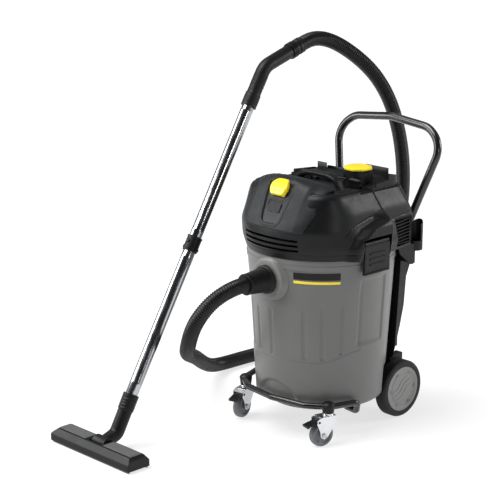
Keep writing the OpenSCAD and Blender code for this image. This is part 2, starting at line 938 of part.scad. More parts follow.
// ---------------------------------------------------------------- hose and wand
// The hose leaves the cuff forwards, falls to the floor on the wand's side, runs back
// along the floor, turns behind the machine and rises in a wide arch to the wand's handle
hose_route = [
    [0, -327, 495], [0, -365, 495], [-20, -435, 468], [-58, -478, 392], [-100, -460, 315],
    [-185, -390, 255], [-272, -292, 205], [-351, -196, 155], [-421, -111, 103],
    [-476, -31, 60], [-525, 50, 28], [-530, 155, 24], [-525, 255, 24], [-495, 350, 24],
    [-435, 435, 28], [-355, 500, 60], [-280, 530, 130], [-230, 535, 220], [-195, 535, 325],
    [-165, 535, 440], [-140, 540, 555], [-125, 530, 675], [-122, 508, 795], [-138, 480, 915],
    [-165, 430, 1015], [-200, 360, 1085], [-230, 285, 1135], [-240, 210, 1150],
    [-240, 151.9, 1130.6],
];

module hose() {
    color(black) bar_along(spline(hose_route, 2), hose_r, 10);
}

module hose_cuff() {
    color(black)
        difference() {
            union() {
                translate([0, -236, inlet_z]) rotate([90, 0, 0]) cylinder(h = 12, r = 43, $fn = fine);
                translate([0, -247, inlet_z]) rotate([90, 0, 0])
                    cylinder(h = 78, r1 = 38, r2 = 30, $fn = fine);
                translate([0, -160, inlet_z]) rotate([90, 0, 0])
                    cylinder(h = 80, r = inlet_bore_r - 0.06, $fn = fine);
            }
            translate([0, -150, inlet_z]) rotate([90, 0, 0]) cylinder(h = 174, r = 19, $fn = fine);
        }
}

grip_bend = [-wand_x, -6, 1078];
grip_end = [-wand_x, 150, 1130];

module wand_handle() {
    low = tube_top - 30 * wand_dir;
    color(black) {
        difference() {
            union() {
                bar_along(rounded([low, grip_bend, grip_end], 60, 8), 22, 20);
                rod(low, wand_dir, 44, 24.5);
                rod(grip_end - 18 * slider_dir, slider_dir, 18, 25.5);
            }
            rod(low - 2 * wand_dir, wand_dir, 34, wand_r);
            bar_along(rounded([tube_top, grip_bend, grip_end + 3 * slider_dir], 60, 8), 17, 16);
        }
    }
}

slider_dir = unit(grip_end - grip_bend);

module air_slider() {
    color(dark)
        difference() {
            rod(grip_end - 52 * slider_dir, slider_dir, 22, 26);
            rod(grip_end - 53 * slider_dir, slider_dir, 24, 22.4);
        }
}

module wand_tubes() {
    color(steel)
        for (run = [[-40, tube_length], [tube_length + 0.5, 2 * tube_length]])
            difference() {
                rod(sleeve_end + run[0] * wand_dir, wand_dir, run[1] - run[0], wand_r);
                rod(sleeve_end + (run[0] - 1) * wand_dir, wand_dir, run[1] - run[0] + 2, wand_bore_r);
            }
}

module wand_collar() {
    start = sleeve_end + (tube_length - 24) * wand_dir;
    color(black)
        difference() {
            union() {
                rod(start, wand_dir, 48, 23);
                rod(start + 6 * wand_dir, wand_dir, 8, 25);
            }
            rod(start - wand_dir, wand_dir, 50, wand_r);
        }
}

nozzle_pivot = [-wand_x, -676, 31];

module nozzle_neck() {
    bend = [-wand_x, -624, 46];
    route = rounded([nozzle_pivot, bend, sleeve_end], 30, 6);
    color(black)
        difference() {
            union() {
                bar_along(route, 22, 20);
                rod(nozzle_pivot - [28, 0, 0], [1, 0, 0], 56, 22);
                rod(sleeve_end - 50 * wand_dir, wand_dir, 50, 24.5);
            }
            bar_along(route, 16, 12);
            rod(sleeve_end - 40 * wand_dir, wand_dir, 42, wand_r);
            rod(nozzle_pivot - [30, 0, 0], [1, 0, 0], 60, 5.05);
        }
}

nozzle_left = -wand_x - nozzle_w / 2;
lip_inset = [5, nozzle_d - 9];

module nozzle() {
    color(black) {
        difference() {
            translate([nozzle_left, nozzle_front, 0]) rotate([90, 0, 90])
                linear_extrude(nozzle_w)
                    polygon([
                        [0, 5], [nozzle_d, 5], [nozzle_d, 24], [nozzle_d - 12, 42],
                        [18, 42], [0, 26],
                    ]);
            translate([-wand_x - 29, nozzle_front + 25, -1]) cube([58, 80, 60]);
            for (x = [nozzle_left, nozzle_left + nozzle_w])
                translate([x, nozzle_front, 50]) rotate([0, 45, 0]) cube([30, 200, 30], center = true);
            nozzle_strips();
            // Suction channel across the sole
            translate([nozzle_left + 16, nozzle_front + 14, 0]) cube([nozzle_w - 32, nozzle_d - 30, 17]);
        }
        for (x = [-34, 20]) rod(nozzle_pivot + [x, 0, 0], [1, 0, 0], 14, 5);
    }
}

// Rubber lips along the front and back of the sole
module nozzle_strips() {
    difference() {
        for (y = lip_inset)
            translate([nozzle_left + 4, nozzle_front + y, 0]) cube([nozzle_w - 8, 4, 12]);
        // Gap behind the neck
        translate([-wand_x - 29, nozzle_front + 25, -1]) cube([58, 80, 20]);
    }
}

module nozzle_panels() {
    color(grey)
        for (x = [nozzle_left + 14, nozzle_left + nozzle_w - 14 - 126])
            translate([x, nozzle_front + 22, 42]) cube([126, 42, 2]);
}

// ---------------------------------------------------------------- drawing
place() tank();
place() inlet_boss();
place() inlet_deflector();
place() label_plate();
place() base_ring();
place() rear_columns();
place() bumper_tube();
place() caster_sockets();
place() column_screws();
place() caster_fork(-1);  // caster_fork_left
place() caster_fork(1);  // caster_fork_right
place() caster_wheel(-1);  // caster_wheel_left
place() caster_wheel(1);  // caster_wheel_right
place() caster_axle(-1);  // caster_axle_left
place() caster_axle(1);  // caster_axle_right
place() brake_pedal(-1);  // brake_pedal_left
place() brake_pedal(1);  // brake_pedal_right
place() rear_axle();
place() mirror([1, 0, 0]) rear_tyre();  // rear_tyre_left
place() rear_tyre();  // rear_tyre_right
place() mirror([1, 0, 0]) rear_hub();  // rear_hub_left
place() rear_hub();  // rear_hub_right
place() push_handle();
place() tool_holders();
place() cable_hook();
place() head_shell();
place() front_panel();
place() carry_handle();
place() side_vents();
place() motor_plate();
place() rim_seal();
place() filter_cover();
place() color(steel) hinge_pins(0);
place() filter_button();
place() button_spring();
place() flat_filter();
place() filter_frame();
place() motor_housings();
place() fan(-1);  // fan_left
place() fan(1);  // fan_right
place() float_cage();
place() float_valve();
place() control_box();
place() cable_gland();
place() front_latch();
place() switch_frame();
place() power_switch();
place() head_screws();
place() mirror([1, 0, 0]) side_latch();  // side_latch_left
place() side_latch();  // side_latch_right
place() hose();
place() hose_cuff();
place() wand_handle();
place() air_slider();
place() wand_tubes();
place() wand_collar();
place() nozzle_neck();
place() nozzle();
place() color(black) nozzle_strips();
place() nozzle_panels();
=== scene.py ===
"""Wet and dry shop vacuum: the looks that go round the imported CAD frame."""
import math
import bpy
import bmesh
import numpy as np
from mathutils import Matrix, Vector
from mathutils.geometry import convex_hull_2d

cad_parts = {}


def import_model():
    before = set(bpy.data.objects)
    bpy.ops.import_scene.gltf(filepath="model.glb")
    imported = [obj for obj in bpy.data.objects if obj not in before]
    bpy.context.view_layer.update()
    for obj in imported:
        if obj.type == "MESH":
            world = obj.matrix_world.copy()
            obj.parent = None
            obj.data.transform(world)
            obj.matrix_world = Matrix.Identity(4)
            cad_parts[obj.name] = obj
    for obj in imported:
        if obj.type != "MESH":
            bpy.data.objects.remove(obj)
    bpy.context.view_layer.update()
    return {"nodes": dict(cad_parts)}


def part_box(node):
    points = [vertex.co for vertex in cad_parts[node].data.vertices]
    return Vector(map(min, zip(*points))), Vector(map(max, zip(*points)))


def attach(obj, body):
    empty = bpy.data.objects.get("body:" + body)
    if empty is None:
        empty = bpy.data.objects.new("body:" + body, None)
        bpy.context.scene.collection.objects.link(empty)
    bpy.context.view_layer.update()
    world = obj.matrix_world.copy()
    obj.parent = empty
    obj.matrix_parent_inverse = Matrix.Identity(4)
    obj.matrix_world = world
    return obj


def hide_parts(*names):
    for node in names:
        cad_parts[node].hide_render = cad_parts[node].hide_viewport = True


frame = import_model()

# ---------------------------------------- places
# Lengths below are millimetres from the foot of the tank's axis: +Z up, front at -Y.
tank_low, tank_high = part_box("tank")
AXIS = np.array([(tank_low.x + tank_high.x) / 2, (tank_low.y + tank_high.y) / 2, 0.0])
TANK_BOTTOM, TANK_TOP = round(tank_low.z * 1000, 1), round(tank_high.z * 1000, 1)
TANK_R_BOTTOM, TANK_R_TOP = 198.0, 226.0
WAND_X = -240.0
WAND_LEAN = math.radians(31)
WAND_DIR = np.array([0, math.sin(WAND_LEAN), math.cos(WAND_LEAN)])
SLEEVE_END = np.array([WAND_X, -562.0, 155.0])
WAND_LENGTH = 970
TUBE_TOP = SLEEVE_END + WAND_LENGTH * WAND_DIR
INLET = (0, -160, 495.0)
FRONT = (0, -1, 0)
BACK, UP = (0, 1, 0), (0, 0, 1)
HOSE_R = 23.5
SIDES = ((-1, "left"), (1, "right"))


def world(points):
    """Millimetres round the tank's axis, as metres in the object's frame."""
    return np.atleast_2d(np.array(points, float)) / 1000 + AXIS


def unit(v):
    v = np.array(v, float)
    return v / np.linalg.norm(v)


def placed(name, data):
    """A new object in the scene."""
    made = bpy.data.objects.new(name, data)
    bpy.context.scene.collection.objects.link(made)
    return made


def smooth(x, low, high):
    """0 below low, 1 above high, and a soft step between."""
    t = np.clip((np.asarray(x, float) - low) / (high - low), 0, 1)
    return t * t * (3 - 2 * t)


# ---------------------------------------- shader nodes
def fill(made, values):
    """Sets a node's own sockets."""
    for name, value in values.items():
        made.inputs[name].default_value = value
    return made


def join(source, output, target, socket):
    target.id_data.links.new(source.outputs[output], target.inputs[socket])


def noise(tree, place, scale, detail, rough):
    made = fill(tree.nodes.new("ShaderNodeTexNoise"), {"Scale": scale, "Detail": detail, "Roughness": rough})
    join(place, 0, made, "Vector")
    return made


# ---------------------------------------- camera and light
def camera():
    data = bpy.data.cameras.new("view")
    data.lens, data.sensor_width = 113.36, 36
    data.clip_start, data.clip_end = 0.05, 60
    eye = placed("view", data)
    eye.location = world([3172.9, -3395.2, 1768.6])[0]
    eye.rotation_euler = (math.radians(75.18), 0, math.radians(45.74))
    bpy.context.scene.camera = eye


def lamp(name, place, size, power):
    """A round soft light that faces the middle of the machine."""
    data = bpy.data.lights.new(name, "AREA")
    data.shape, data.size, data.energy = "DISK", size, power
    light = placed(name, data)
    light.location = world(place)[0]
    way = Vector(world((0, 0, 500))[0]) - light.location
    light.rotation_euler = way.to_track_quat("-Z", "Y").to_euler()


def lights():
    top = bpy.data.lights.new("top", "SUN")
    top.energy, top.angle = 3.3, math.radians(40)
    placed("top", top).rotation_euler = (math.radians(24), math.radians(-16), 0)
    lamp("key", (-2400, -2300, 1900), 1.7, 62)
    lamp("rim", (1900, 2400, 1700), 1.2, 40)
    lamp("strip", (3000, -500, 1500), 0.5, 9)


def room():
    """The backdrop shows white, but the object is lit and mirrored by a dimmer room."""
    sky = bpy.data.worlds.new("studio")
    sky.use_nodes = True
    tree = sky.node_tree
    dim = fill(tree.nodes["Background"], {"Color": (0.93, 0.96, 1, 1)})
    # Darker towards the front corner, so that round chrome shows a dark middle
    dot = fill(tree.nodes.new("ShaderNodeVectorMath"), {1: (0.66, -0.66, 0.36)})
    dot.operation = "DOT_PRODUCT"
    fade = fill(tree.nodes.new("ShaderNodeMapRange"),
                {"From Min": 0.25, "From Max": 0.9, "To Min": 0.3, "To Max": 0.03})
    fade.interpolation_type = "SMOOTHSTEP"
    join(tree.nodes.new("ShaderNodeTexCoord"), "Generated", dot, 0)
    join(dot, "Value", fade, "Value")
    join(fade, "Result", dim, "Strength")
    white = fill(tree.nodes.new("ShaderNodeBackground"), {"Color": (1, 1, 1, 1), "Strength": 1.0})
    mixed = tree.nodes.new("ShaderNodeMixShader")
    join(tree.nodes.new("ShaderNodeLightPath"), "Is Camera Ray", mixed, 0)
    join(dim, 0, mixed, 1)
    join(white, 0, mixed, 2)
    join(mixed, 0, tree.nodes["World Output"], "Surface")
    bpy.context.scene.world = sky
    bpy.context.scene.view_settings.view_transform = "Standard"


def floor():
    """A wide pale floor, just below the wheels."""
    mesh = bpy.data.meshes.new("floor")
    reach = 40.0
    corners = [(-reach, -reach, 0), (reach, -reach, 0), (reach, reach, 0), (-reach, reach, 0)]
    mesh.from_pydata(corners, [], [(0, 1, 2, 3)])
    ground = placed("floor", mesh)
    ground.location.z = -0.0004
    mat = bpy.data.materials.new("floor")
    mat.use_nodes = True
    fill(mat.node_tree.nodes["Principled BSDF"], {
        "Base Color": (0.32, 0.32, 0.32, 1), "Emission Color": (1, 1, 1, 1), "Emission Strength": 0.7,
        "Roughness": 0.9, "Specular IOR Level": 0.1})
    mesh.materials.append(mat)


# ---------------------------------------- materials
def finish_of(name, colour, rough, metal=0.0, grain=1400, depth=40, spread=0.1, wear=0.1,
              coat=0.0, coat_rough=0.1, specular=0.5, stretch=(1, 1, 1)):
    """Fine grain in relief, depth micrometres deep, with soft colour drift and uneven roughness."""
    mat = bpy.data.materials.new(name)
    mat.use_nodes = True
    tree = mat.node_tree
    shader = fill(tree.nodes["Principled BSDF"], {
        "Metallic": metal, "Specular IOR Level": specular, "Coat Weight": coat,
        "Coat Roughness": coat_rough})
    scaled = fill(tree.nodes.new("ShaderNodeMapping"), {"Scale": stretch})
    join(tree.nodes.new("ShaderNodeTexCoord"), "Object", scaled, "Vector")
    ramp = tree.nodes.new("ShaderNodeValToRGB")
    for end, share in ((0, 1 - spread), (1, 1 + spread)):
        stop = ramp.color_ramp.elements[end]
        stop.position = 0.3 + 0.4 * end
        stop.color = (*[min(1.0, c * share) for c in colour], 1)
    join(noise(tree, scaled, 9.0, 5.0, 0.6), "Fac", ramp, "Fac")
    join(ramp, "Color", shader, "Base Color")
    span = fill(tree.nodes.new("ShaderNodeMapRange"), {
        "From Min": 0.3, "From Max": 0.7, "To Min": max(0.02, rough * (1 - wear)),
        "To Max": min(1.0, rough * (1 + 1.5 * wear))})
    join(noise(tree, scaled, 34.0, 6.0, 0.7), "Fac", span, "Value")
    join(span, "Result", shader, "Roughness")
    bump = fill(tree.nodes.new("ShaderNodeBump"), {"Strength": 1.0, "Distance": depth / 1e6})
    join(noise(tree, scaled, grain, 3.0, 0.55), "Fac", bump, "Height")
    join(bump, "Normal", shader, "Normal")
    return mat


FINISHES = {   # the record's slot for new pieces, colour, roughness, and what else differs
    "tank": ("tank_plastic", (0.138, 0.136, 0.133), 0.42, dict(spread=0.05, coat=0.12, coat_rough=0.3)),
    "boss": ("tank_plastic", (0.17, 0.168, 0.164), 0.4, dict(spread=0.05)),
    "panel": ("head_plastic", (0.010, 0.011, 0.013), 0.5,
              dict(grain=1900, depth=110, spread=0.06, specular=0.3)),
    "head": ("head_plastic", (0.0035, 0.0038, 0.0045), 0.42,
             dict(grain=1500, depth=30, coat=0.05, coat_rough=0.3, specular=0.24)),
    "black": ("black_plastic", (0.004, 0.004, 0.0048), 0.45, dict(grain=1700, depth=60, specular=0.28)),
    "pad": ("black_plastic", (0.005, 0.0055, 0.006), 0.62, dict(grain=520, depth=400, spread=0.15)),
    "gloss": ("tube_black", (0.004, 0.004, 0.005), 0.26,
              dict(grain=700, depth=10, coat=0.35, coat_rough=0.12)),
    "hose": ("hose_plastic", (0.0035, 0.0035, 0.004), 0.38, dict(grain=1300, specular=0.3)),
    "yellow": ("yellow_plastic", (0.95, 0.74, 0.004), 0.33,
               dict(grain=1300, depth=20, spread=0.03, coat=0.3, coat_rough=0.15)),
    "chrome": ("wand_steel", (0.46, 0.465, 0.48), 0.16,
               dict(metal=1.0, grain=900, depth=4, spread=0.03, wear=0.4, stretch=(1, 1, 0.1))),
    "zinc": ("caster_zinc", (0.66, 0.67, 0.69), 0.2,
             dict(metal=1.0, grain=260, depth=30, spread=0.12, wear=0.35)),
    "steel": (None, (0.5, 0.5, 0.51), 0.35, dict(metal=1.0, grain=400, depth=30)),
    "pin": ("screws_steel", (0.035, 0.035, 0.037), 0.45, dict(metal=1.0, grain=500, depth=30, spread=0.12)),
    "cast": (None, (0.42, 0.42, 0.42), 0.5, dict(metal=1.0, grain=600, depth=100)),
    "rubber": ("caster_rubber", (0.15, 0.155, 0.165), 0.55, dict(grain=1100, depth=80, spread=0.08)),
    "tyre": ("tyre_black", (0.010, 0.011, 0.0125), 0.6,
             dict(grain=900, depth=100, spread=0.12, specular=0.35)),
    "hub": ("hub_grey", (0.205, 0.203, 0.199), 0.36,
            dict(grain=1500, depth=30, spread=0.04, coat=0.15, coat_rough=0.3)),
    "switch": ("switch_grey", (0.012, 0.0125, 0.014), 0.5,
               dict(grain=1500, depth=30, spread=0.06, specular=0.25)),
    "insert": ("panel_grey", (0.085, 0.09, 0.084), 0.5, dict(grain=1200, depth=100, spread=0.08)),
    "paper": (None, (0.70, 0.67, 0.58), 0.9, dict(grain=700, depth=200, spread=0.08)),
    "orange": (None, (0.75, 0.20, 0.03), 0.45, dict(depth=50, spread=0.05)),
    "board": (None, (0.52, 0.50, 0.44), 0.5, dict(depth=50, spread=0.05)),
}
MATS = {look: finish_of(look, colour, rough, **more) for look, (_, colour, rough, more) in FINISHES.items()}

# ---------------------------------------- pieces
NODE_LOOKS = {   # the CAD nodes that stay in view
    "black": ("inlet_deflector", "motor_plate", "cable_gland", "filter_frame", "float_cage"),
    "pin": ("head_screws", "hinge_pins"),
    "steel": ("column_screws", "caster_axle_left", "caster_axle_right", "rear_axle", "button_spring"),
    "cast": ("motor_housings", "fan_left", "fan_right"), "rubber": ("rim_seal", "nozzle_strips"),
    "paper": ("flat_filter",), "orange": ("float_valve",), "board": ("control_box",),
}


def coat(mesh, look, sharp):
    """Gives a mesh its finish, smooth but for edges that turn more than sharp degrees."""
    mesh.materials.clear()
    mesh.materials.append(MATS[look])
    mesh.shade_smooth()
    mesh.set_sharp_from_angle(angle=math.radians(sharp))


def dress_nodes():
    """Gives every CAD node that stays in view its finish."""
    for look, names in NODE_LOOKS.items():
        for name in names:
            coat(frame["nodes"][name].data, look, 32)


def mesh_of(name, points, faces):
    mesh = bpy.data.meshes.new(name)
    mesh.from_pydata([tuple(p) for p in world(points)], [], faces)
    return mesh


def piece(name, points, faces, look, body, replaces=(), sharp=35, bevel=0.0, slot=None):
    """A mesh from millimetre points, with its finish, its body and the CAD nodes that it stands for."""
    return settle(name, mesh_of(name, points, faces), look, body, replaces, sharp, bevel)


def settle(name, mesh, look, body, replaces=(), sharp=35, bevel=0.0):
    """Cleans the mesh, bevels edges that turn more than sharp degrees, and makes it a piece."""
    clean = bmesh.new()
    clean.from_mesh(mesh)
    bmesh.ops.remove_doubles(clean, verts=clean.verts, dist=1e-6)
    bmesh.ops.dissolve_degenerate(clean, dist=1e-7, edges=clean.edges)
    bmesh.ops.recalc_face_normals(clean, faces=clean.faces)
    if bevel:
        chamfer(clean, bevel, sharp)
    clean.to_mesh(mesh)
    clean.free()
    coat(mesh, look, sharp)
    made = placed(name, mesh)
    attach(made, body)
    if replaces:
        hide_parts(*replaces)
    return made


def chamfer(body, wide, sharp):
    """Cuts back every edge that turns more than sharp degrees."""
    edges = [e for e in body.edges if len(e.link_faces) == 2 and e.calc_face_angle(0) > math.radians(sharp)]
    bmesh.ops.bevel(body, geom=edges, offset=wide / 1000, segments=1, affect="EDGES", clamp_overlap=True)


# ---------------------------------------- shapes, as millimetre points and faces
def grid_faces(rows, cols, closed=True, caps=True):
    """Quads over a grid of points; closed joins the last column to the first."""
    last = cols if closed else cols - 1
    faces = []
    for i in range(rows - 1):
        here, above = i * cols, (i + 1) * cols
        faces += [(here + k, here + (k + 1) % cols, above + (k + 1) % cols, above + k) for k in range(last)]
    if caps:
        faces.append(tuple(range(cols))[::-1])
        faces.append(tuple((rows - 1) * cols + k for k in range(cols)))
    return faces


def sheet_solid(front, back):
    """Points and faces of a closed sheet between two grids of the same size."""
    rows, cols = front.shape[:2]
    size = rows * cols
    points = np.concatenate([front.reshape(-1, 3), back.reshape(-1, 3)])
    skin = grid_faces(rows, cols, closed=False, caps=False)
    rim = list(range(cols)) + [i * cols + cols - 1 for i in range(1, rows)]
    rim += [(rows - 1) * cols + k for k in range(cols - 2, -1, -1)]
    rim += [i * cols for i in range(rows - 2, 0, -1)]
    faces = skin + [tuple(size + k for k in face[::-1]) for face in skin]
    faces += [(a, b, size + b, size + a) for a, b in zip(rim, rim[1:] + rim[:1])]
    return points, faces


def lathe(profile, origin, along=(0, 0, 1), segments=72):
    """Points and faces of a closed profile of (radius, height) turned round an axis."""
    w = unit(along)
    u = unit(np.cross(w, [0, 0, 1] if abs(w[2]) < 0.9 else [1, 0, 0]))
    v = np.cross(w, u)
    turns = np.linspace(0, 2 * math.pi, segments, endpoint=False)
    around = np.cos(turns)[:, None] * u + np.sin(turns)[:, None] * v
    points = [np.array(origin) + r * around + h * w for r, h in profile]
    faces = []
    for i in range(len(profile)):
        here, above = i * segments, (i + 1) % len(profile) * segments
        for k in range(segments):
            ahead = (k + 1) % segments
            faces.append((here + k, here + ahead, above + ahead, above + k))
    return np.concatenate(points), faces


def sweep(path, radii, sides):
    """Points and faces of a bar along a path, without twist, with a radius at every point."""
    radii = np.broadcast_to(np.asarray(radii, float), (len(path),))
    ahead = np.gradient(path, axis=0)
    ahead /= np.linalg.norm(ahead, axis=1)[:, None]
    side = np.zeros_like(path)
    side[0] = unit(np.cross(ahead[0], [0, 0, 1] if abs(ahead[0][2]) < 0.9 else [1, 0, 0]))
    for i in range(1, len(path)):
        side[i] = unit(side[i - 1] - (side[i - 1] @ ahead[i]) * ahead[i])
    up = np.cross(ahead, side)
    turns = np.linspace(0, 2 * math.pi, sides, endpoint=False)
    rings = path[:, None] + radii[:, None, None] * (
        np.cos(turns)[None, :, None] * side[:, None] + np.sin(turns)[None, :, None] * up[:, None])
    return rings.reshape(-1, 3), grid_faces(len(path), sides)


def rounded(points, radius, steps=10):
    """A route through straight runs whose corners are rounded."""
    points = [np.array(p, float) for p in points]
    route = [points[0]]
    for a, b, c in zip(points, points[1:], points[2:]):
        u, v = unit(a - b), unit(c - b)
        half = math.acos(np.clip(u @ v, -1, 1)) / 2
        centre = b + unit(u + v) * radius / math.sin(half)
        first, last = b + u * radius / math.tan(half) - centre, b + v * radius / math.tan(half) - centre
        turn = math.pi - 2 * half
        route += [centre + (math.sin(turn * (1 - t)) * first + math.sin(turn * t) * last) / math.sin(turn)
                  for t in np.linspace(0, 1, steps + 1)]
    return np.array(route + [points[-1]])


def mirrored(half):
    """A route's first half, then the same points mirrored in X; the last point lies on the middle."""
    half = [np.array(p, float) for p in half]
    return half + [p * [-1, 1, 1] for p in half[-2::-1]]


def run(path):
    """How far along the path each of its points is."""
    return np.concatenate([[0], np.cumsum(np.linalg.norm(np.diff(path, axis=0), axis=1))])


def evenly(path, step):
    """The same path with points a fixed distance apart."""
    far = run(path)
    marks = np.linspace(0, far[-1], max(2, int(round(far[-1] / step)) + 1))
    return np.stack([np.interp(marks, far, path[:, k]) for k in range(3)], 1)


def plate(outline, thick, origin, u, v):
    """An outline in the plane of u and v, made thick along their normal."""
    u, v = unit(u), unit(v)
    w = np.cross(u, v)
    flat = np.array([np.array(origin) + a * u + b * v for a, b in outline])
    count = len(flat)
    points = np.concatenate([flat, flat + thick * w])
    faces = [tuple(range(count))[::-1], tuple(range(count, 2 * count))]
    faces += [(k, (k + 1) % count, count + (k + 1) % count, count + k) for k in range(count)]
    return points, faces


def block(corner, far_corner):
    """Points and faces of a box between two opposite corners."""
    x, y, z = map(min, corner, far_corner)
    a, b, c = map(max, corner, far_corner)
    return plate([(x, y), (a, y), (a, b), (x, b)], c - z, (0, 0, z), (1, 0, 0), (0, 1, 0))


def round_rect(wide, high, radius, middle):
    """Outline of a rectangle with rounded corners."""
    outline = []
    for corner, (sx, sy) in enumerate(((1, 1), (-1, 1), (-1, -1), (1, -1))):
        centre = np.array([sx * (wide / 2 - radius), sy * (high / 2 - radius)]) + middle
        for t in np.linspace(0, math.pi / 2, 7):
            turn = corner * math.pi / 2 + t
            outline.append(tuple(centre + radius * np.array([math.cos(turn), math.sin(turn)])))
    return outline


def merged(*parts):
    """Several (points, faces) as one."""
    points, faces, base = [], [], 0
    for p, f in parts:
        points.append(np.array(p, float))
        faces += [tuple(base + k for k in face) for face in f]
        base += len(p)
    return np.concatenate(points), faces


def solid_mesh(points, faces, name):
    """A mesh whose faces all look outwards, ready to be cut or to cut."""
    mesh = mesh_of(name, points, faces)
    solid = bmesh.new()
    solid.from_mesh(mesh)
    bmesh.ops.recalc_face_normals(solid, faces=solid.faces)
    solid.to_mesh(mesh)
    solid.free()
    return mesh


def carved(mesh, cutters):
    """The mesh with each cutter's solid taken out."""
    body = placed("carving", mesh)
    tools = []
    for points, faces in cutters:
        tool = placed("cutter", solid_mesh(points, faces, "cutter"))
        tools.append(tool)
        cut = body.modifiers.new("cut", "BOOLEAN")
        cut.operation, cut.object, cut.solver = "DIFFERENCE", tool, "EXACT"
    bpy.context.view_layer.update()
    result = bpy.data.meshes.new_from_object(body.evaluated_get(bpy.context.evaluated_depsgraph_get()))
    for old in [body, *tools]:
        bpy.data.objects.remove(old)
    return result


# ---------------------------------------- hose
HOSE_ROUTE = [
    [0, -327, 495], [0, -365, 495], [-20, -435, 468], [-58, -478, 392], [-100, -460, 315],
    [-185, -390, 255], [-272, -292, 205], [-351, -196, 155], [-421, -111, 103],
    [-476, -31, 60], [-525, 50, 28], [-530, 155, 24], [-525, 255, 24], [-495, 350, 24],
    [-435, 435, 28], [-355, 500, 60], [-280, 530, 130], [-230, 535, 220], [-195, 535, 325],
    [-165, 535, 440], [-140, 540, 555], [-125, 530, 675], [-122, 508, 795], [-138, 480, 915],
    [-165, 430, 1015], [-200, 360, 1085], [-230, 285, 1135], [-240, 210, 1150],
    [-240, 151.9, 1130.6],
]


def spline(points, steps):
    """The smooth cubic curve guided by the points, from the first to the last of them."""
    p = np.array(points, float)
    p = np.concatenate([[2 * p[0] - p[1]], p, [2 * p[-1] - p[-2]]])
    path = []
    for i in range(len(p) - 3):
        for t in np.arange(steps) / steps:
            path.append(((1 - t) ** 3 * p[i] + (3 * t ** 3 - 6 * t * t + 4) * p[i + 1]
                         + (-3 * t ** 3 + 3 * t * t + 3 * t + 1) * p[i + 2] + t ** 3 * p[i + 3]) / 6)
    return np.array(path + [p[-2]])


def hose():
    """Corrugated hose along the route."""
    pitch, rows_a_rib = 7.0, 4
    line = evenly(spline(HOSE_ROUTE, 16), pitch / rows_a_rib)
    heights = np.array([0.0, 0.0, -1.9, -1.9])
    radii = HOSE_R + heights[np.arange(len(line)) % rows_a_rib]
    points, faces = sweep(line, radii, sides=20)
    made = piece("hose_ribbed", points, faces, "hose", "machine", ("hose",), sharp=80)


camera()
hose()
dress_nodes()


# ---------------------------------------- tank
FOOT_ROUND = 14   # radius of the rounding at the tank's foot
FIELD_DEPTH = 1.8   # how far the front field is set in


def tank_radius(z):
    rise = (z - TANK_BOTTOM - FOOT_ROUND) / (TANK_TOP - TANK_BOTTOM - FOOT_ROUND)
    return TANK_R_BOTTOM + rise * (TANK_R_TOP - TANK_R_BOTTOM)


def tank():
    """Moulded tank: rim bands, flutes, step line, latch channels, round dip and wheel wells."""
    turns = np.radians(np.arange(0, 360, 0.6))
    heights = np.unique(np.concatenate([
        [95, 96.5, 99, 103, 109, 191.9, 192.1, 533.9, 534.1, 540, 547.9, 548.1, 556, 561, 563.3, 564],
        np.arange(112, 530, 5.0), np.arange(238, 290, 2.5)]))
    t, z = np.meshgrid(turns, heights)
    straight = TANK_BOTTOM + FOOT_ROUND
    rounding = 1 - np.sqrt(np.clip(1 - ((straight - z) / FOOT_ROUND) ** 2, 0, 1))
    radius = tank_radius(np.clip(z, straight, None)) - FOOT_ROUND * rounding * (z < straight)
    # Front field between the latch channels, set in above the step line
    from_front = (np.degrees(t) + 180) % 360 - 180 + 90
    step_z = 245 + 33 * smooth(np.abs(from_front), 40, 80)
    field = smooth(z, step_z - 2, step_z + 3) * (1 - smooth(np.abs(from_front), 77, 79))
    radius -= FIELD_DEPTH * field * (1 - smooth(z, 440, 520))
    # Flutes: degrees from the front, and height of the upper end
    for place, top in ((-18, 398), (-1, 406), (30, 412), (45, 422), (60, 432), (-33, 412), (-48, 422)):
        near = np.abs(from_front - place) * math.pi / 180 * 205
        flute = (1 - smooth(near, 4, 8.5)) * (1 - smooth(z, top - 12, top))
        radius -= 2.6 * flute * smooth(z, step_z + 6, step_z + 12)
    # Channels below the side latches
    across = np.abs(radius * np.sin(t) + 2)
    side = np.abs(np.cos(t)) > 0.7
    channel = side * (1 - smooth(across, 50, 56)) * smooth(z, 288, 304) * (1 - smooth(z, 496, 500))
    radius -= 4.5 * channel
    # Round dip behind the bumper
    off = np.hypot(radius * np.cos(t), z - 85)
    dip = (np.sin(t) < 0) * (1 - smooth(off, 82, 90))
    radius -= 6.5 * dip
    # Bands at the rim
    radius += 2.4 * smooth(z, 533.9, 534.1) * (1 - smooth(z, 558, 563))
    radius -= 1.3 * smooth(z, 547.9, 548.1) * (1 - smooth(z, 558, 563))
    # Rear corners stand back from the wheels
    x, y = np.abs(np.cos(t)), np.sin(t)
    well = (z < 192) & (radius * x > 132) & (radius * y > 92)
    radius = np.where(well, np.maximum(132 / np.maximum(x, 1e-3), 92 / np.maximum(y, 1e-3)), radius)
    outer = np.stack([radius * np.cos(t), radius * np.sin(t), z], -1)
    wall, base = 5, 6
    scale = (radius - wall) / radius
    inside_z = np.maximum(z, TANK_BOTTOM + base)
    inner = np.stack([outer[..., 0] * scale, outer[..., 1] * scale, inside_z], -1)[::-1]
    points = np.concatenate([outer, inner]).reshape(-1, 3)
    mesh = solid_mesh(points, grid_faces(2 * len(heights), len(turns)), "tank_moulded")
    mouth = lathe([(0.1, 0), (41, 0), (41, 90), (0.1, 90)], INLET, FRONT)
    settle("tank_moulded", carved(mesh, [mouth]), "tank", "machine", ("tank",), sharp=38)


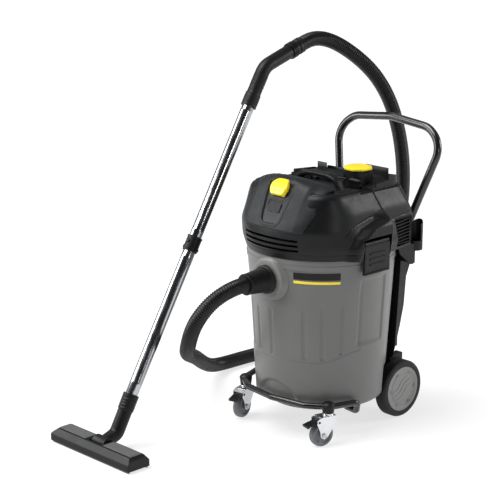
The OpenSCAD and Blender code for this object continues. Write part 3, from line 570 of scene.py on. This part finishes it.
def inlet():
    """Raised ring that flows into the tank's wall, round the socket of the hose cuff."""
    turns = np.radians(np.arange(0, 360, 3))
    rows = []
    # Radius, and how far each ring stands out from the wall
    for radius, stand in ((68, 0.6), (66, 3.5), (63.5, 8), (61, 11.5), (57.5, 13.2), (50, 13.8), (43, 13.8),
                          (40.5, 12), (39.8, 9)):
        x, z = radius * np.cos(turns), INLET[2] + radius * np.sin(turns)
        wall = -np.sqrt(tank_radius(z) ** 2 - x ** 2)
        front = -tank_radius(INLET[2]) - stand
        share = smooth(stand, 0, 12)
        rows.append(np.stack([x, wall * (1 - share) + front * share - 0.4 * (1 - share), z], -1))
    # Radius and Y of the socket behind it
    for radius, y in ((39.8, -150.5), (31.0, -150.5), (31.0, -233.5), (36, -235.0), (39.8, -233.5)):
        x, z = radius * np.cos(turns), INLET[2] + radius * np.sin(turns)
        rows.append(np.stack([x, np.full_like(x, y), z], -1))
    faces = grid_faces(len(rows), len(turns), caps=False)
    piece("inlet_ring", np.concatenate(rows), faces, "boss", "machine", ("inlet_boss",))


def label():
    """Plain dark plate over a plain yellow stripe, bent round the tank."""
    columns = 40
    turns = np.radians(np.linspace(-68, -32, columns))
    for tag, look, low, high in (("dark", "black", 506, 527), ("stripe", "yellow", 493.5, 501.5)):
        rows = []
        for z, out in ((low, -0.5), (low, 1), (low + 0.6, 1.5), (high - 0.6, 1.5), (high, 1), (high, -0.5)):
            r = tank_radius(z) - FIELD_DEPTH * (1 - smooth(z, 440, 520)) + out
            rows.append(np.stack([r * np.cos(turns), r * np.sin(turns), np.full_like(turns, z)], -1))
        last = (len(rows) - 1) * columns
        faces = grid_faces(len(rows), columns, closed=False, caps=False)
        faces.append(tuple(range(0, last + 1, columns)))
        faces.append(tuple(range(columns - 1, last + columns, columns))[::-1])
        faces += [(k, last + k, last + k + 1, k + 1) for k in range(columns - 1)]
        made = piece("plate_" + tag, np.concatenate(rows), faces, look, "machine", slot="plate_black")
    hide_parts("label_plate")


# ---------------------------------------- tubes
def push_handle():
    half = [(118.58, 221, 532), (213, 302, 856), (150, 313, 900), (0, 316, 915)]
    points, faces = sweep(evenly(rounded(mirrored(half), 72, 20), 9), 12.5, 32)
    piece("push_bar", points, faces, "gloss", "machine", ("push_handle",), sharp=60)


def bumper():
    half = [(150, -40, 84), (196, -46, 84), (213, -60, 120), (184, -149, 120), (120, -196, 120),
            (0, -213, 120)]
    points, faces = sweep(rounded(mirrored(half), 16, 8), 9.5, 28)
    piece("bumper_bar", points, faces, "gloss", "machine", ("bumper_tube",), sharp=60)


# ---------------------------------------- head
def outline_radius(points, turns):
    """Distance from the middle to the hull of the points, in each direction."""
    points = np.unique(np.round(points, 4), axis=0)
    ring = points[convex_hull_2d([Vector(p) for p in points])]
    edge = np.roll(ring, -1, axis=0) - ring
    normal = np.stack([edge[:, 1], -edge[:, 0]], 1)
    normal /= np.linalg.norm(normal, axis=1)[:, None]
    reach = (normal * ring).sum(1)
    facing = np.cos(turns)[:, None] * normal[:, 0] + np.sin(turns)[:, None] * normal[:, 1]
    return np.where(facing > 1e-6, reach / np.maximum(facing, 1e-6), 1e9).min(1)


def circle(x, y, r):
    t = np.linspace(0, 2 * math.pi, 90, endpoint=False)
    return np.stack([x + r * np.cos(t), y + r * np.sin(t)], 1)


def plan(half, front, back, r, rear_r=16):
    """Plan outline of the head's upper part: round front corners and tighter rear corners."""
    return np.concatenate([circle(s * (half - r), -front + r, r) for s in (-1, 1)]
                          + [circle(s * (half - rear_r), back - rear_r, rear_r) for s in (-1, 1)])


REAR_BLOCK = np.concatenate([circle(s * 193, 174, 12) for s in (-1, 1)])
HEAD_SECTIONS = [   # height, and the outlines whose hull is the plan there
    (564.4, [circle(0, 0, 228.5), REAR_BLOCK]), (600, [circle(0, 0, 240), REAR_BLOCK]),
    (652, [plan(208, 230, 188, 162), REAR_BLOCK]), (668, [plan(204, 222, 188, 155), REAR_BLOCK]),
    (700, [plan(198, 207, 187, 142, 34)]), (742, [plan(177, 178, 184, 82, 46)]),
    (752, [plan(170, 170, 182, 74, 46)]), (756.5, [plan(163, 163, 180, 70, 46)]),
    (758, [plan(154, 154, 176, 64, 42)]),
]
HEAD_TURNS = np.radians(np.concatenate([
    np.arange(-52, 60, 0.4), np.arange(60, 120, 1.0), np.arange(120, 232, 0.4), np.arange(232, 308, 1.0)]))


def head_radii(turns, heights):
    """Radius of the head's skin, for heights down the rows and directions along them."""
    keys = [z for z, _ in HEAD_SECTIONS]
    rows = np.array([outline_radius(np.concatenate(parts), turns) for _, parts in HEAD_SECTIONS])
    fine = np.arange(keys[0], keys[-1] + 0.01, 2.0)
    dense = np.array([[np.interp(z, keys, rows[:, k]) for k in range(len(turns))] for z in fine])
    reach = 4
    weights = np.exp(-0.5 * (np.arange(-2 * reach, 2 * reach + 1) / reach) ** 2)
    padded = np.concatenate([2 * dense[:1] - dense[1:2 * reach + 1][::-1], dense,
                             2 * dense[-1:] - dense[-2 * reach - 1:-1][::-1]])
    soft = sum(w * padded[i:i + len(dense)] for i, w in enumerate(weights)) / weights.sum()
    share = smooth(fine, 738, 746)[:, None]
    dense = soft * (1 - share) + dense * share
    return np.array([[np.interp(z, fine, dense[:, k]) for k in range(len(turns))] for z in heights])


def fender(y, z):
    """How far out the shoulder over a side latch stands, as an X, and how much of it applies."""
    out = np.interp(z, [560, 600, 634, 655, 676, 694, 706], [234, 240, 242, 238, 227, 213, 204])
    front = np.interp(z, [560, 570, 605, 631, 652, 668], [-121, -120, -112, -91, -57, 4])
    within = smooth(y, front, front + 45) * (1 - smooth(y, 46, 64)) * (1 - smooth(z, 668, 704))
    return out, within


def groove(distance, wide):
    """1 along a groove and 0 beside it."""
    return 1 - smooth(np.abs(distance), wide * 0.45, wide)


def head_shell():
    """Shell with shoulders over the latches, cover seams, louvres, vent bays and a sunk deck."""
    heights = np.unique(np.concatenate([
        [564.4, 565.2, 566.5, 585.5, 586], np.arange(568, 742, 3.0), np.arange(742, 756, 2.0),
        [756, 756.8, 757.4, 757.8, 758]]))
    base = head_radii(HEAD_TURNS, heights)
    t, z = np.meshgrid(HEAD_TURNS, heights)
    out, within = fender(base * np.sin(t), z)
    wanted = out / np.maximum(np.abs(np.cos(t)), 0.3)
    radius = base + np.maximum(wanted - base, 0) * within
    # Seams of the shoulder and of the rear cover, on both sides
    y = radius * np.sin(t)
    side = np.abs(np.cos(t)) > 0.45
    arc_z = np.interp(y, [-115, -95, -65, -16, 33, 60], [640, 657, 667, 678, 683, 686])
    seam = groove(z - arc_z, 2.6) * (y > -118) * (y < 56)
    seam_y = np.interp(z, [655, 672, 700, 732, 758], [72, 60, 44, 35, 30])
    rear = groove(y - seam_y, 2.6) * (z > 653)
    low = groove(z - np.interp(y, [72, 115, 190], [655, 662, 668]), 2.6) * (y > 71)
    radius -= 1.6 * side * np.maximum(np.maximum(seam, rear), low)
    radius += side * smooth(y - seam_y, 0, 3) * smooth(z, 655, 662)
    # Joint line above the tank's rim
    radius -= 1.2 * groove(z - 586, 2.0)
    outer = np.stack([radius * np.cos(t), radius * np.sin(t), z], -1)
    thin = base - 4
    inner = np.stack([thin * np.cos(t), thin * np.sin(t), np.minimum(z, 740.0)], -1)[::-1]
    # Inner rings run from the top down, outer rings from the bottom up
    points = np.concatenate([inner, outer]).reshape(-1, 3)
    mesh = solid_mesh(points, grid_faces(2 * len(heights), len(HEAD_TURNS)), "head_cover")
    cutters = [block((-107, -262, 591 + 15 * k), (107, -198, 598 + 15 * k)) for k in range(3)]
    cutters += [block((-140, 54, 690), (140, 166, 790)), block((-250, -20, 744), (250, 230, 800)),
                block((-148, -92, 744), (148, -10, 800))]
    for side in (-1, 1):
        cutters.append(block((side * 223, -71, 552), (side * 303, 48, 628)))
        cutters.append(block((side * 186, 97, 572), (side * 240, 177, 656)))
    settle("head_cover", carved(mesh, cutters), "head", "head", ("head_shell",), sharp=36)
    # Rims beside the carry handle and the back wall of the hump
    side_view = [(-116, 740), (-112, 752), (-94, 760), (-70, 763.5), (-44, 763), (-31, 756), (-22, 744),
                 (-22, 740)]
    for side, tag in SIDES:
        rim = plate(side_view, 11, (side * 152.5 - 5.5, 0, 0), BACK, UP)
        piece("rim_" + tag, *rim, "head", "head", sharp=20, bevel=2.5)
    edge = [(0, 782), (44, 781), (95, 776), (118, 773), (138, 766), (148, 756), (150, 742)]
    outline = [(-x, z) for x, z in edge[:0:-1]] + edge
    piece("hump_back", *plate(outline, 6, (0, -94, 0), (1, 0, 0), UP), "panel", "head", sharp=40, bevel=1.2)


PANEL_KEYS = [0, 44, 95, 118, 142]   # X of each curve below
PANEL_CURVES = [   # (y, z) from the lower edge, over the crest, to the back edge
    [(-233, 649), (-224, 672), (-211, 700), (-196, 730), (-178, 765), (-163, 785), (-146, 791), (-120, 789),
     (-100, 784)],
    [(-233, 649), (-224, 672), (-211, 700), (-196, 730), (-178, 763), (-163, 784), (-146, 790), (-118, 788),
     (-100, 783)],
    [(-227, 649), (-219, 672), (-205, 700), (-191, 727), (-178, 750), (-165, 766), (-148, 777), (-120, 781),
     (-98, 778)],
    [(-216, 649), (-210, 672), (-196, 700), (-183, 722), (-170, 741), (-158, 754), (-141, 766), (-118, 775),
     (-96, 775)],
    [(-203, 649), (-194, 672), (-181, 700), (-171, 722), (-163, 738), (-155, 749), (-142, 758), (-118, 766),
     (-92, 767)],
]


def between(p, t):
    """Catmull-Rom curve between the two middle ones of four points."""
    a, b, c, d = p
    return 0.5 * (2 * b + (c - a) * t + (2 * a - 5 * b + 4 * c - d) * t * t
                  + (3 * b - a - 3 * c + d) * t ** 3)


def spline_through(points, marks):
    """The smooth curve through the points, at the given marks from 0 to the number of the last point."""
    p = np.concatenate([[2 * points[0] - points[1]], points, [2 * points[-1] - points[-2]]])
    starts = [min(int(m), len(points) - 2) for m in marks]
    return np.array([between(p[i:i + 4], m - i) for i, m in zip(starts, marks)])


def smooth_interp(x, keys, rows):
    """Interpolates rows over keys along a smooth curve that is mirrored at zero."""
    marks = np.interp(x, keys, np.arange(len(keys)))
    p = np.concatenate([rows[1:2], rows, 2 * rows[-1:] - rows[-2:-1]])
    i = np.minimum(marks.astype(int), len(keys) - 2)
    return between((p[i], p[i + 1], p[i + 2], p[i + 3]), (marks - i)[:, None])


def panel_grid(across, along):
    """Points of the front cover's outer face: across from -1 to 1, along from the lower edge to the back."""
    curves = np.array(PANEL_CURVES, float)
    last = curves.shape[1] - 1
    marks = np.linspace(0, last, 8 * last + 1)
    dense = np.array([spline_through(c, marks) for c in curves])
    lengths = np.linspace(0, 1, len(marks))
    grid = np.zeros((len(along), len(across), 3))
    for j, a in enumerate(along):
        x = across * np.interp(a, [0, 0.27, 1], [122, 142, 142])
        row = np.array([[np.interp(a, lengths, curve[:, m]) for m in (0, 1)] for curve in dense])
        yz = smooth_interp(np.abs(x), PANEL_KEYS, row)
        grid[j] = np.stack([x, yz[:, 0], yz[:, 1]], 1)
    return grid


def front_panel():
    """Dark grained front cover with a sunk channel round the switch, rolled edges and screw holes."""
    across = np.concatenate([
        np.linspace(-1, -0.42, 24), np.linspace(-0.41, 0.41, 84), np.linspace(0.42, 1, 24)])
    along = np.linspace(0, 1, 110)
    grid = panel_grid(across, along)
    normal = np.cross(np.gradient(grid, axis=1), np.gradient(grid, axis=0))
    normal /= np.linalg.norm(normal, axis=2)[..., None]
    x, z = grid[..., 0], grid[..., 2]
    front = grid[..., 1] < -150
    # How far inside the channel's outline a point is; its lower corners are round
    half = np.interp(z, [664, 690, 740, 775], [33, 38, 46, 50])
    inside = np.minimum(half - np.abs(x), z - 664)
    corner = np.hypot(np.maximum(np.abs(x) - (half - 14), 0), np.maximum(678 - z, 0))
    inside = np.where((np.abs(x) > half - 14) & (z < 678), 14 - corner, inside)
    sunk = 5.0 * smooth(inside, 0, 3) * front * (1 - smooth(z, 770, 782))
    lip = 0.8 * smooth(inside, -9, -6) * (1 - smooth(inside, -1.5, 0)) * front * (1 - smooth(z, 758, 772))
    grid = grid - normal * sunk[..., None] + normal * lip[..., None]
    for screw in (-118, 118):
        off = np.hypot(x - screw, (grid[..., 1] + 159) * 1.2)
        grid = grid - normal * (3.5 * (1 - smooth(off, 5, 6.5)))[..., None]
    sides = np.clip(1 - (1 - np.abs(across)) * 26, 0, 1) ** 2
    grid = grid - normal * (2.2 * sides)[None, :, None]
    lower = np.clip(1 - along * 50, 0, 1) ** 2
    grid = grid - normal * (2.2 * lower)[:, None, None]
    mesh = solid_mesh(*sheet_solid(grid, grid - normal * 6.0), "front_cover")
    hole = plate(round_rect(62, 60, 8, (0, 699)), 60, (0, -175, 0), (1, 0, 0), UP)
    settle("front_cover", carved(mesh, [hole]), "panel", "head", ("front_panel",), sharp=40)
    screw = [(0.1, -3), (4.6, -3), (4.6, 0), (4.1, 0.6), (1.7, 0.6), (1.6, -0.6), (0.1, -0.6)]
    heads = [lathe(screw, (x, -159, 752.5), (0, -0.62, 0.78), 24) for x in (-118, 118)]
    piece("panel_screws", *merged(*heads), "pin", "head", sharp=30)


# ---------------------------------------- fittings
def softened(name, source, look, body, bevel, extra=None):
    """The CAD node's shape with its edges cut back, and raised details added to it."""
    owner = frame["nodes"][source]
    mesh = owner.data.copy()
    mesh.transform(owner.matrix_world)
    soft = bmesh.new()
    soft.from_mesh(mesh)
    bmesh.ops.remove_doubles(soft, verts=soft.verts, dist=1e-6)
    bmesh.ops.dissolve_limit(soft, angle_limit=math.radians(0.6), verts=soft.verts, edges=soft.edges)
    chamfer(soft, bevel, 30)
    if extra:
        points, faces = extra
        made = [soft.verts.new(p) for p in world(points)]
        for face in faces:
            soft.faces.new([made[k] for k in face])
    soft.to_mesh(mesh)
    soft.free()
    settle(name, mesh, look, body, (source,), sharp=20)


def spun(ends, count, low, high, depth, gap):
    """Points (radius, height) of a run with even round grooves; ends are its radii at low and high."""
    step = (high - low) / count
    rows = []
    edge = gap / 2
    for k in range(count):
        for share, cut in ((edge, 0), (edge + 0.06, depth), (1 - edge - 0.06, depth), (1 - edge, 0)):
            h = low + k * step + share * step
            rows.append((np.interp(h, [low, high], ends) - cut, h))
    return rows


def rear_wheels():
    """Grooved tyres, and discs with three wavy ribs, a ring and slots."""
    wall = [(70.4, -18.8), (72, -20.4), (79, -21), (84, -20.2), (85, -18.6), (88, -17.4)]
    tread = []
    for g in (-12, -6, 0, 6, 12):
        tread += [(90, g - 1.5), (88.4, g - 1.0), (88.4, g + 1.0), (90, g + 1.5)]
    rubber = wall + tread + [(r, -h) for r, h in wall[::-1]]
    turns = np.linspace(0, 2 * math.pi, 144, endpoint=False)
    radii = np.concatenate([[0.05], np.arange(2, 70, 1.5), [70.3]])
    r, t = np.meshgrid(radii, turns, indexing="ij")
    a, b = r * np.cos(t), r * np.sin(t)
    face = 19.0 - 2.2 * (1 - smooth(r, 58.5, 62)) - 1.2 * groove(r - 50, 1.8) + 0.8 * smooth(r, 66, 69)
    tilt = math.radians(38)
    u = a * math.cos(tilt) + b * math.sin(tilt)
    v = -a * math.sin(tilt) + b * math.cos(tilt)
    for place in (-17, 0, 17):
        face += 1.5 * (1 - smooth(np.abs(v - place - 3 * np.sin(u / 9)), 2.2, 4)) * (1 - smooth(r, 42, 45))
    slots = np.abs(((np.degrees(t) + 30) % 60) - 30) * math.pi / 180 * 55
    face -= 2.4 * (1 - smooth(slots, 5.5, 7)) * (1 - smooth(np.abs(r - 55), 1.4, 2.4))
    # Radius, and distance out from the wheel's middle, over the back of the disc
    for q, h in ((70.3, -18.6), (66, -19), (62, -16), (24, -15), (16, -19.5), (8.3, -19.5), (8.3, 12),
                 (0.05, 12)):
        face = np.concatenate([face, np.full((1, len(turns)), h)])
        a = np.concatenate([a, [q * np.cos(turns)]])
        b = np.concatenate([b, [q * np.sin(turns)]])
    for side, tag in SIDES:
        hub_at = np.array([side * 158, 191, 90.0])
        piece("tread_" + tag, *lathe(rubber, hub_at, (side, 0, 0), 144), "tyre", "wheel_" + tag,
              ("rear_tyre_" + tag,), sharp=40)
        points = np.stack([side * face, a, b], -1).reshape(-1, 3) + hub_at
        piece("disc_" + tag, points, grid_faces(len(face), len(turns)), "hub", "wheel_" + tag,
              ("rear_hub_" + tag,), sharp=38)


def casters():
    """Rollers with raised edges and a seam, their forks, and brake pedals with ribs."""
    toe = math.radians(15)   # how far each caster is turned
    dip = math.radians(14)   # how far each pedal slopes down
    half = [(4.1, -15.4), (8.6, -15.4), (9, -14.8), (9, -9.4), (12, -8.6), (22, -8.6), (25, -10), (28, -13),
            (33, -13), (34.2, -12), (34.6, -10), (36.8, -8), (37.5, -5.5), (37.5, -1.2), (36.9, -0.6)]
    profile = half + [(r, -h) for r, h in half[::-1]]
    for side, tag in SIDES:
        low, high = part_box("caster_wheel_" + tag)
        centre = (np.array((low + high) / 2) - AXIS) * 1000
        across = np.array([math.cos(toe), -side * math.sin(toe), 0])
        ahead = np.array([-side * math.sin(toe), -math.cos(toe), 0])
        piece("roller_" + tag, *lathe(profile, centre, across, 96), "rubber", "caster_" + tag,
              ("caster_wheel_" + tag,), sharp=40)
        softened("fork_plate_" + tag, "caster_fork_" + tag, "zinc", "fork_" + tag, 0.5)
        pivot = np.array([side * 176, -149, 81]) + 41 * ahead
        out = ahead * math.cos(dip) - np.array([0, 0, math.sin(dip)])
        up = ahead * math.sin(dip) + np.array([0, 0, math.cos(dip)])
        ribs = [plate([(-11, y), (11, y), (11, y + 3), (-11, y + 3)], 1.6, pivot + 1.4 * up, -across, out)
                for y in (8, 14, 20, 26)]
        softened("pedal_" + tag, "brake_pedal_" + tag, "black", "pedal_" + tag, 0.7, merged(*ribs))


def strap(route, wide, thick, corner, steps=20):
    """A bar with a rounded oblong section along a route in an upright plane facing the front."""
    route = np.array(route, float)
    ahead = np.gradient(route, axis=0)
    ahead /= np.linalg.norm(ahead, axis=1)[:, None]
    turns = np.linspace(0, 2 * math.pi, steps, endpoint=False)
    a = np.sign(np.cos(turns)) * np.abs(np.cos(turns)) ** corner * wide / 2
    b = np.sign(np.sin(turns)) * np.abs(np.sin(turns)) ** corner * thick / 2
    up = np.stack([-ahead[:, 2], np.zeros(len(route)), ahead[:, 0]], 1)
    rings = route[:, None] + a[None, :, None] * np.array([0, 1.0, 0]) + b[None, :, None] * up[:, None]
    return rings.reshape(-1, 3), grid_faces(len(route), steps)


def top_fittings():
    half = [(-93, -12, 738), (-70, -12, 772), (-40, -12, 780), (0, -12, 781.5)]
    arch = strap(evenly(rounded(mirrored(half), 20, 6), 5), 28, 14, 0.5, 28)
    feet = [strap([(s * 96, -12, 743.6), (s * 90, -12, 744), (s * 84, -12, 747)], 30, 6, 0.4)
            for s in (-1, 1)]
    piece("carry_arch", *merged(arch, *feet), "head", "head", ("carry_handle",), sharp=45)
    ribs = [block((-100 + 22 * k, 62, 752), (-96 + 22 * k, 150, 753.4)) for k in range(5)]
    ribs += [block((-106, 55, 752), (-4, 57, 753.6)), block((124, 60, 752), (126, 100, 753.4))]
    softened("rear_lid", "filter_cover", "head", "cover", 1.3, merged(*ribs))
    ring = lathe([(17, 802.2), (26, 802.2), (26, 803.2), (25, 803.8), (18, 803.8), (17, 803.2)], (75, 78, 0))
    softened("cap_yellow", "filter_button", "yellow", "button", 0.7, ring)


def front_fittings():
    """Yellow latch, a bent sheet over the crest with a thumb hollow, and the switch below it."""
    rows = []
    # Y, Z and half width of each row, from the lower edge to the back
    for y, z, half in ((-198, 748, 24), (-197.5, 750, 27), (-194.5, 757, 31), (-189, 767, 34),
                       (-182, 776, 33.5), (-172, 783.5, 28), (-160, 787, 22), (-152, 787.5, 19),
                       (-149.5, 785, 17.5)):
        x = np.linspace(-half, half, 33)
        drop = 4.5 * np.clip((np.abs(x) - half + 5) / 5, 0, 1) ** 2
        thumb = 1.6 * (1 - smooth(np.hypot(x / 17, (z - 762) / 9), 0.7, 1))
        outward = unit([0, -0.82, 0.57]) if z < 780 else unit([0, -0.3, 0.95])
        row = np.stack([x, np.full_like(x, y), np.full_like(x, z)], 1)
        rows.append(row - (drop + thumb)[:, None] * outward)
    top = np.array(rows)
    points, faces = sheet_solid(top, top + np.array([0, 5.0, -6.0]))
    piece("clasp_yellow", points, faces, "yellow", "latch_front", ("front_latch",), sharp=50)
    softened("switch_well", "switch_frame", "pad", "head", 0.8)
    softened("rocker", "power_switch", "switch", "switch", 0.7)


def side_fittings():
    for side, tag in SIDES:
        lip = plate([(-60, 520), (36, 520), (36, 524), (-60, 524)], 3, (side * 240 - 1.5, 0, 0), BACK, UP)
        softened("clasp_" + tag, "side_latch_" + tag, "black", "latch_" + tag, 1.1, lip)
    slats = []
    for side in (-1, 1):
        slats.append(block((side * 188.5, 99, 574), (side * 193, 175, 654)))
        for low, high in (((99, 574), (103, 654)), ((171, 574), (175, 654)), ((99, 574), (175, 577)),
                          ((99, 651), (175, 654))):
            slats.append(block((side * 192, *low), (side * 204.5, *high)))
        for k in range(7):
            z = 578 + 10.2 * k
            line = [(102, z), (172, z + 6), (172, z + 9.5), (102, z + 3.5)]
            slats.append(plate(line, 10, (side * 198.5 - 5, 0, 0), BACK, UP))
    piece("side_slats", *merged(*slats), "black", "head", ("side_vents",), sharp=30, bevel=0.6)
    for name, source, bevel in (("columns", "rear_columns", 1.8), ("holders", "tool_holders", 0.9),
                                ("lead_hook", "cable_hook", 1.2), ("foot_ring", "base_ring", 1.2),
                                ("socket_caps", "caster_sockets", 1.0)):
        softened(name, source, "black", "machine", bevel)


# ---------------------------------------- wand
def cuff():
    base = [(19.2, 2), (30.4, 2), (30.9, 3), (30.9, 79), (42, 79.4), (42.8, 80.4), (42.8, 85.6), (42, 86.8),
            (38.6, 88), (37.8, 90)]
    tip = [(31.6, 157.5), (32.2, 158.5), (32.2, 163), (31, 164.6), (24.4, 165), (19.2, 165)]
    profile = base + spun((37.4, 31.2), 6, 96, 156, 1.2, 0.3) + tip
    piece("cuff_ribbed", *lathe(profile, INLET, FRONT, 96), "black", "cuff", ("hose_cuff",),
          sharp=40)


def grip():
    """Bent wand handle with finger ridges below the bend, and the air slider round its end."""
    start = TUBE_TOP - 28 * WAND_DIR
    bend, end = np.array([WAND_X, -6, 1078]), np.array([WAND_X, 150, 1130.0])
    route = evenly(rounded([start, bend, end], 60, 16), 2.5)
    far = run(route)
    total = far[-1]
    radii = 22 + 2.4 * (1 - smooth(far, 40, 44)) + 3.4 * smooth(far, total - 20, total - 17)
    radii = radii - 0.9 * groove(far - 36, 1.8) - 0.9 * groove(far - 8, 1.8) - groove(far - total + 7, 1.8)
    mids = [far.searchsorted(m) for m in (70, 78, 86, 94, 102)]
    ridges = [sweep(route[m - 1:m + 2], [21.2, 22.9, 21.2], 40) for m in mids]
    piece("grip_bent", *merged(sweep(route, radii, 40), *ridges), "black", "machine",
          ("wand_handle",), sharp=40)
    edge = [(22.5, 0.3), (25.2, 0.3), (26, 1.2)]
    ring = edge + spun((26, 26), 5, 3, 19, 0.8, 0.4) + [(r, 22 - h) for r, h in edge[::-1]]
    out = unit(end - bend)
    piece("slider_ring", *lathe(ring, end - 52 * out, out, 80), "black", "slider", ("air_slider",), sharp=40)


def wand():
    """Two polished tubes with a bead near each end, and the collar that joins them."""
    tubes = []
    for start, stop, bead in ((-40, 485, 30), (485.5, WAND_LENGTH, 525.5)):
        profile = [(18.4, start), (19.3, start), (19.5, start + 0.5)]
        for at in (bead, stop - 48):
            profile += [(19.5, at), (19.9, at + 2), (19.9, at + 6), (19.5, at + 8)]
        profile += [(19.5, stop - 0.5), (19.3, stop), (18.4, stop)]
        tubes.append(lathe(profile, SLEEVE_END, WAND_DIR, 96))
    piece("tubes_polished", *merged(*tubes), "chrome", "machine", ("wand_tubes",), sharp=60)
    start = SLEEVE_END + 461 * WAND_DIR
    profile = [(19.6, 0), (22, 0), (23, 1), (23, 6), (25, 7), (25, 13), (23, 14.2)]
    profile += spun((23, 23), 5, 17, 42, 0.7, 0.4)
    profile += [(23, 43.5), (24, 44.5), (24, 47), (23, 48), (19.6, 48)]
    stud = lathe([(0.1, 20), (5.5, 20), (6, 24), (5, 26), (0.1, 26)], start + 28 * WAND_DIR,
                 np.cross([1, 0, 0], WAND_DIR), 28)
    collar = merged(lathe(profile, start, WAND_DIR, 80), stud)
    piece("collar_ribbed", *collar, "black", "machine", ("wand_collar",), sharp=40)


def floor_tool():
    pivot, bend = np.array([WAND_X, -676, 31.0]), np.array([WAND_X, -624, 46.0])
    route = evenly(rounded([pivot, bend, SLEEVE_END], 30, 12), 2.5)
    far = run(route)
    total = far[-1]
    radii = 20.5 + 1.5 * smooth(far, 20, 60) + 2.5 * smooth(far, total - 52, total - 48)
    for k in range(4):
        radii = radii - 1.0 * groove(far - total + 42 - 9 * k, 1.8)
    half = [(5.2, -27.6), (20, -27.6), (21.6, -26), (21.8, -22), (21.2, -20)]
    drum = lathe(half + [(r, -h) for r, h in half[::-1]], pivot, (1, 0, 0), 64)
    piece("neck_bent", *merged(sweep(route, radii, 40), drum), "black", "machine",
          ("nozzle_neck",), sharp=40)
    lines = [block((WAND_X - 178, -731, z), (WAND_X + 178, -729, z + 2)) for z in (12, 17)]
    softened("sole_body", "nozzle", "black", "floor_head", 2.0, merged(*lines))
    pads = []
    for x in (WAND_X - 166, WAND_X + 40):
        pads.append(block((x, -708, 42), (x + 126, -666, 44)))
        pads += [block((x + 5, -704 + 6 * k, 43.5), (x + 121, -701 + 6 * k, 44.9)) for k in range(6)]
    piece("pads_grey", *merged(*pads), "insert", "floor_head", ("nozzle_panels",), sharp=30, bevel=0.4)


for make in (tank, inlet, label, push_handle, bumper, head_shell, front_panel, rear_wheels, casters,
             top_fittings, front_fittings, side_fittings, cuff, grip, wand, floor_tool, lights, room, floor):
    make()
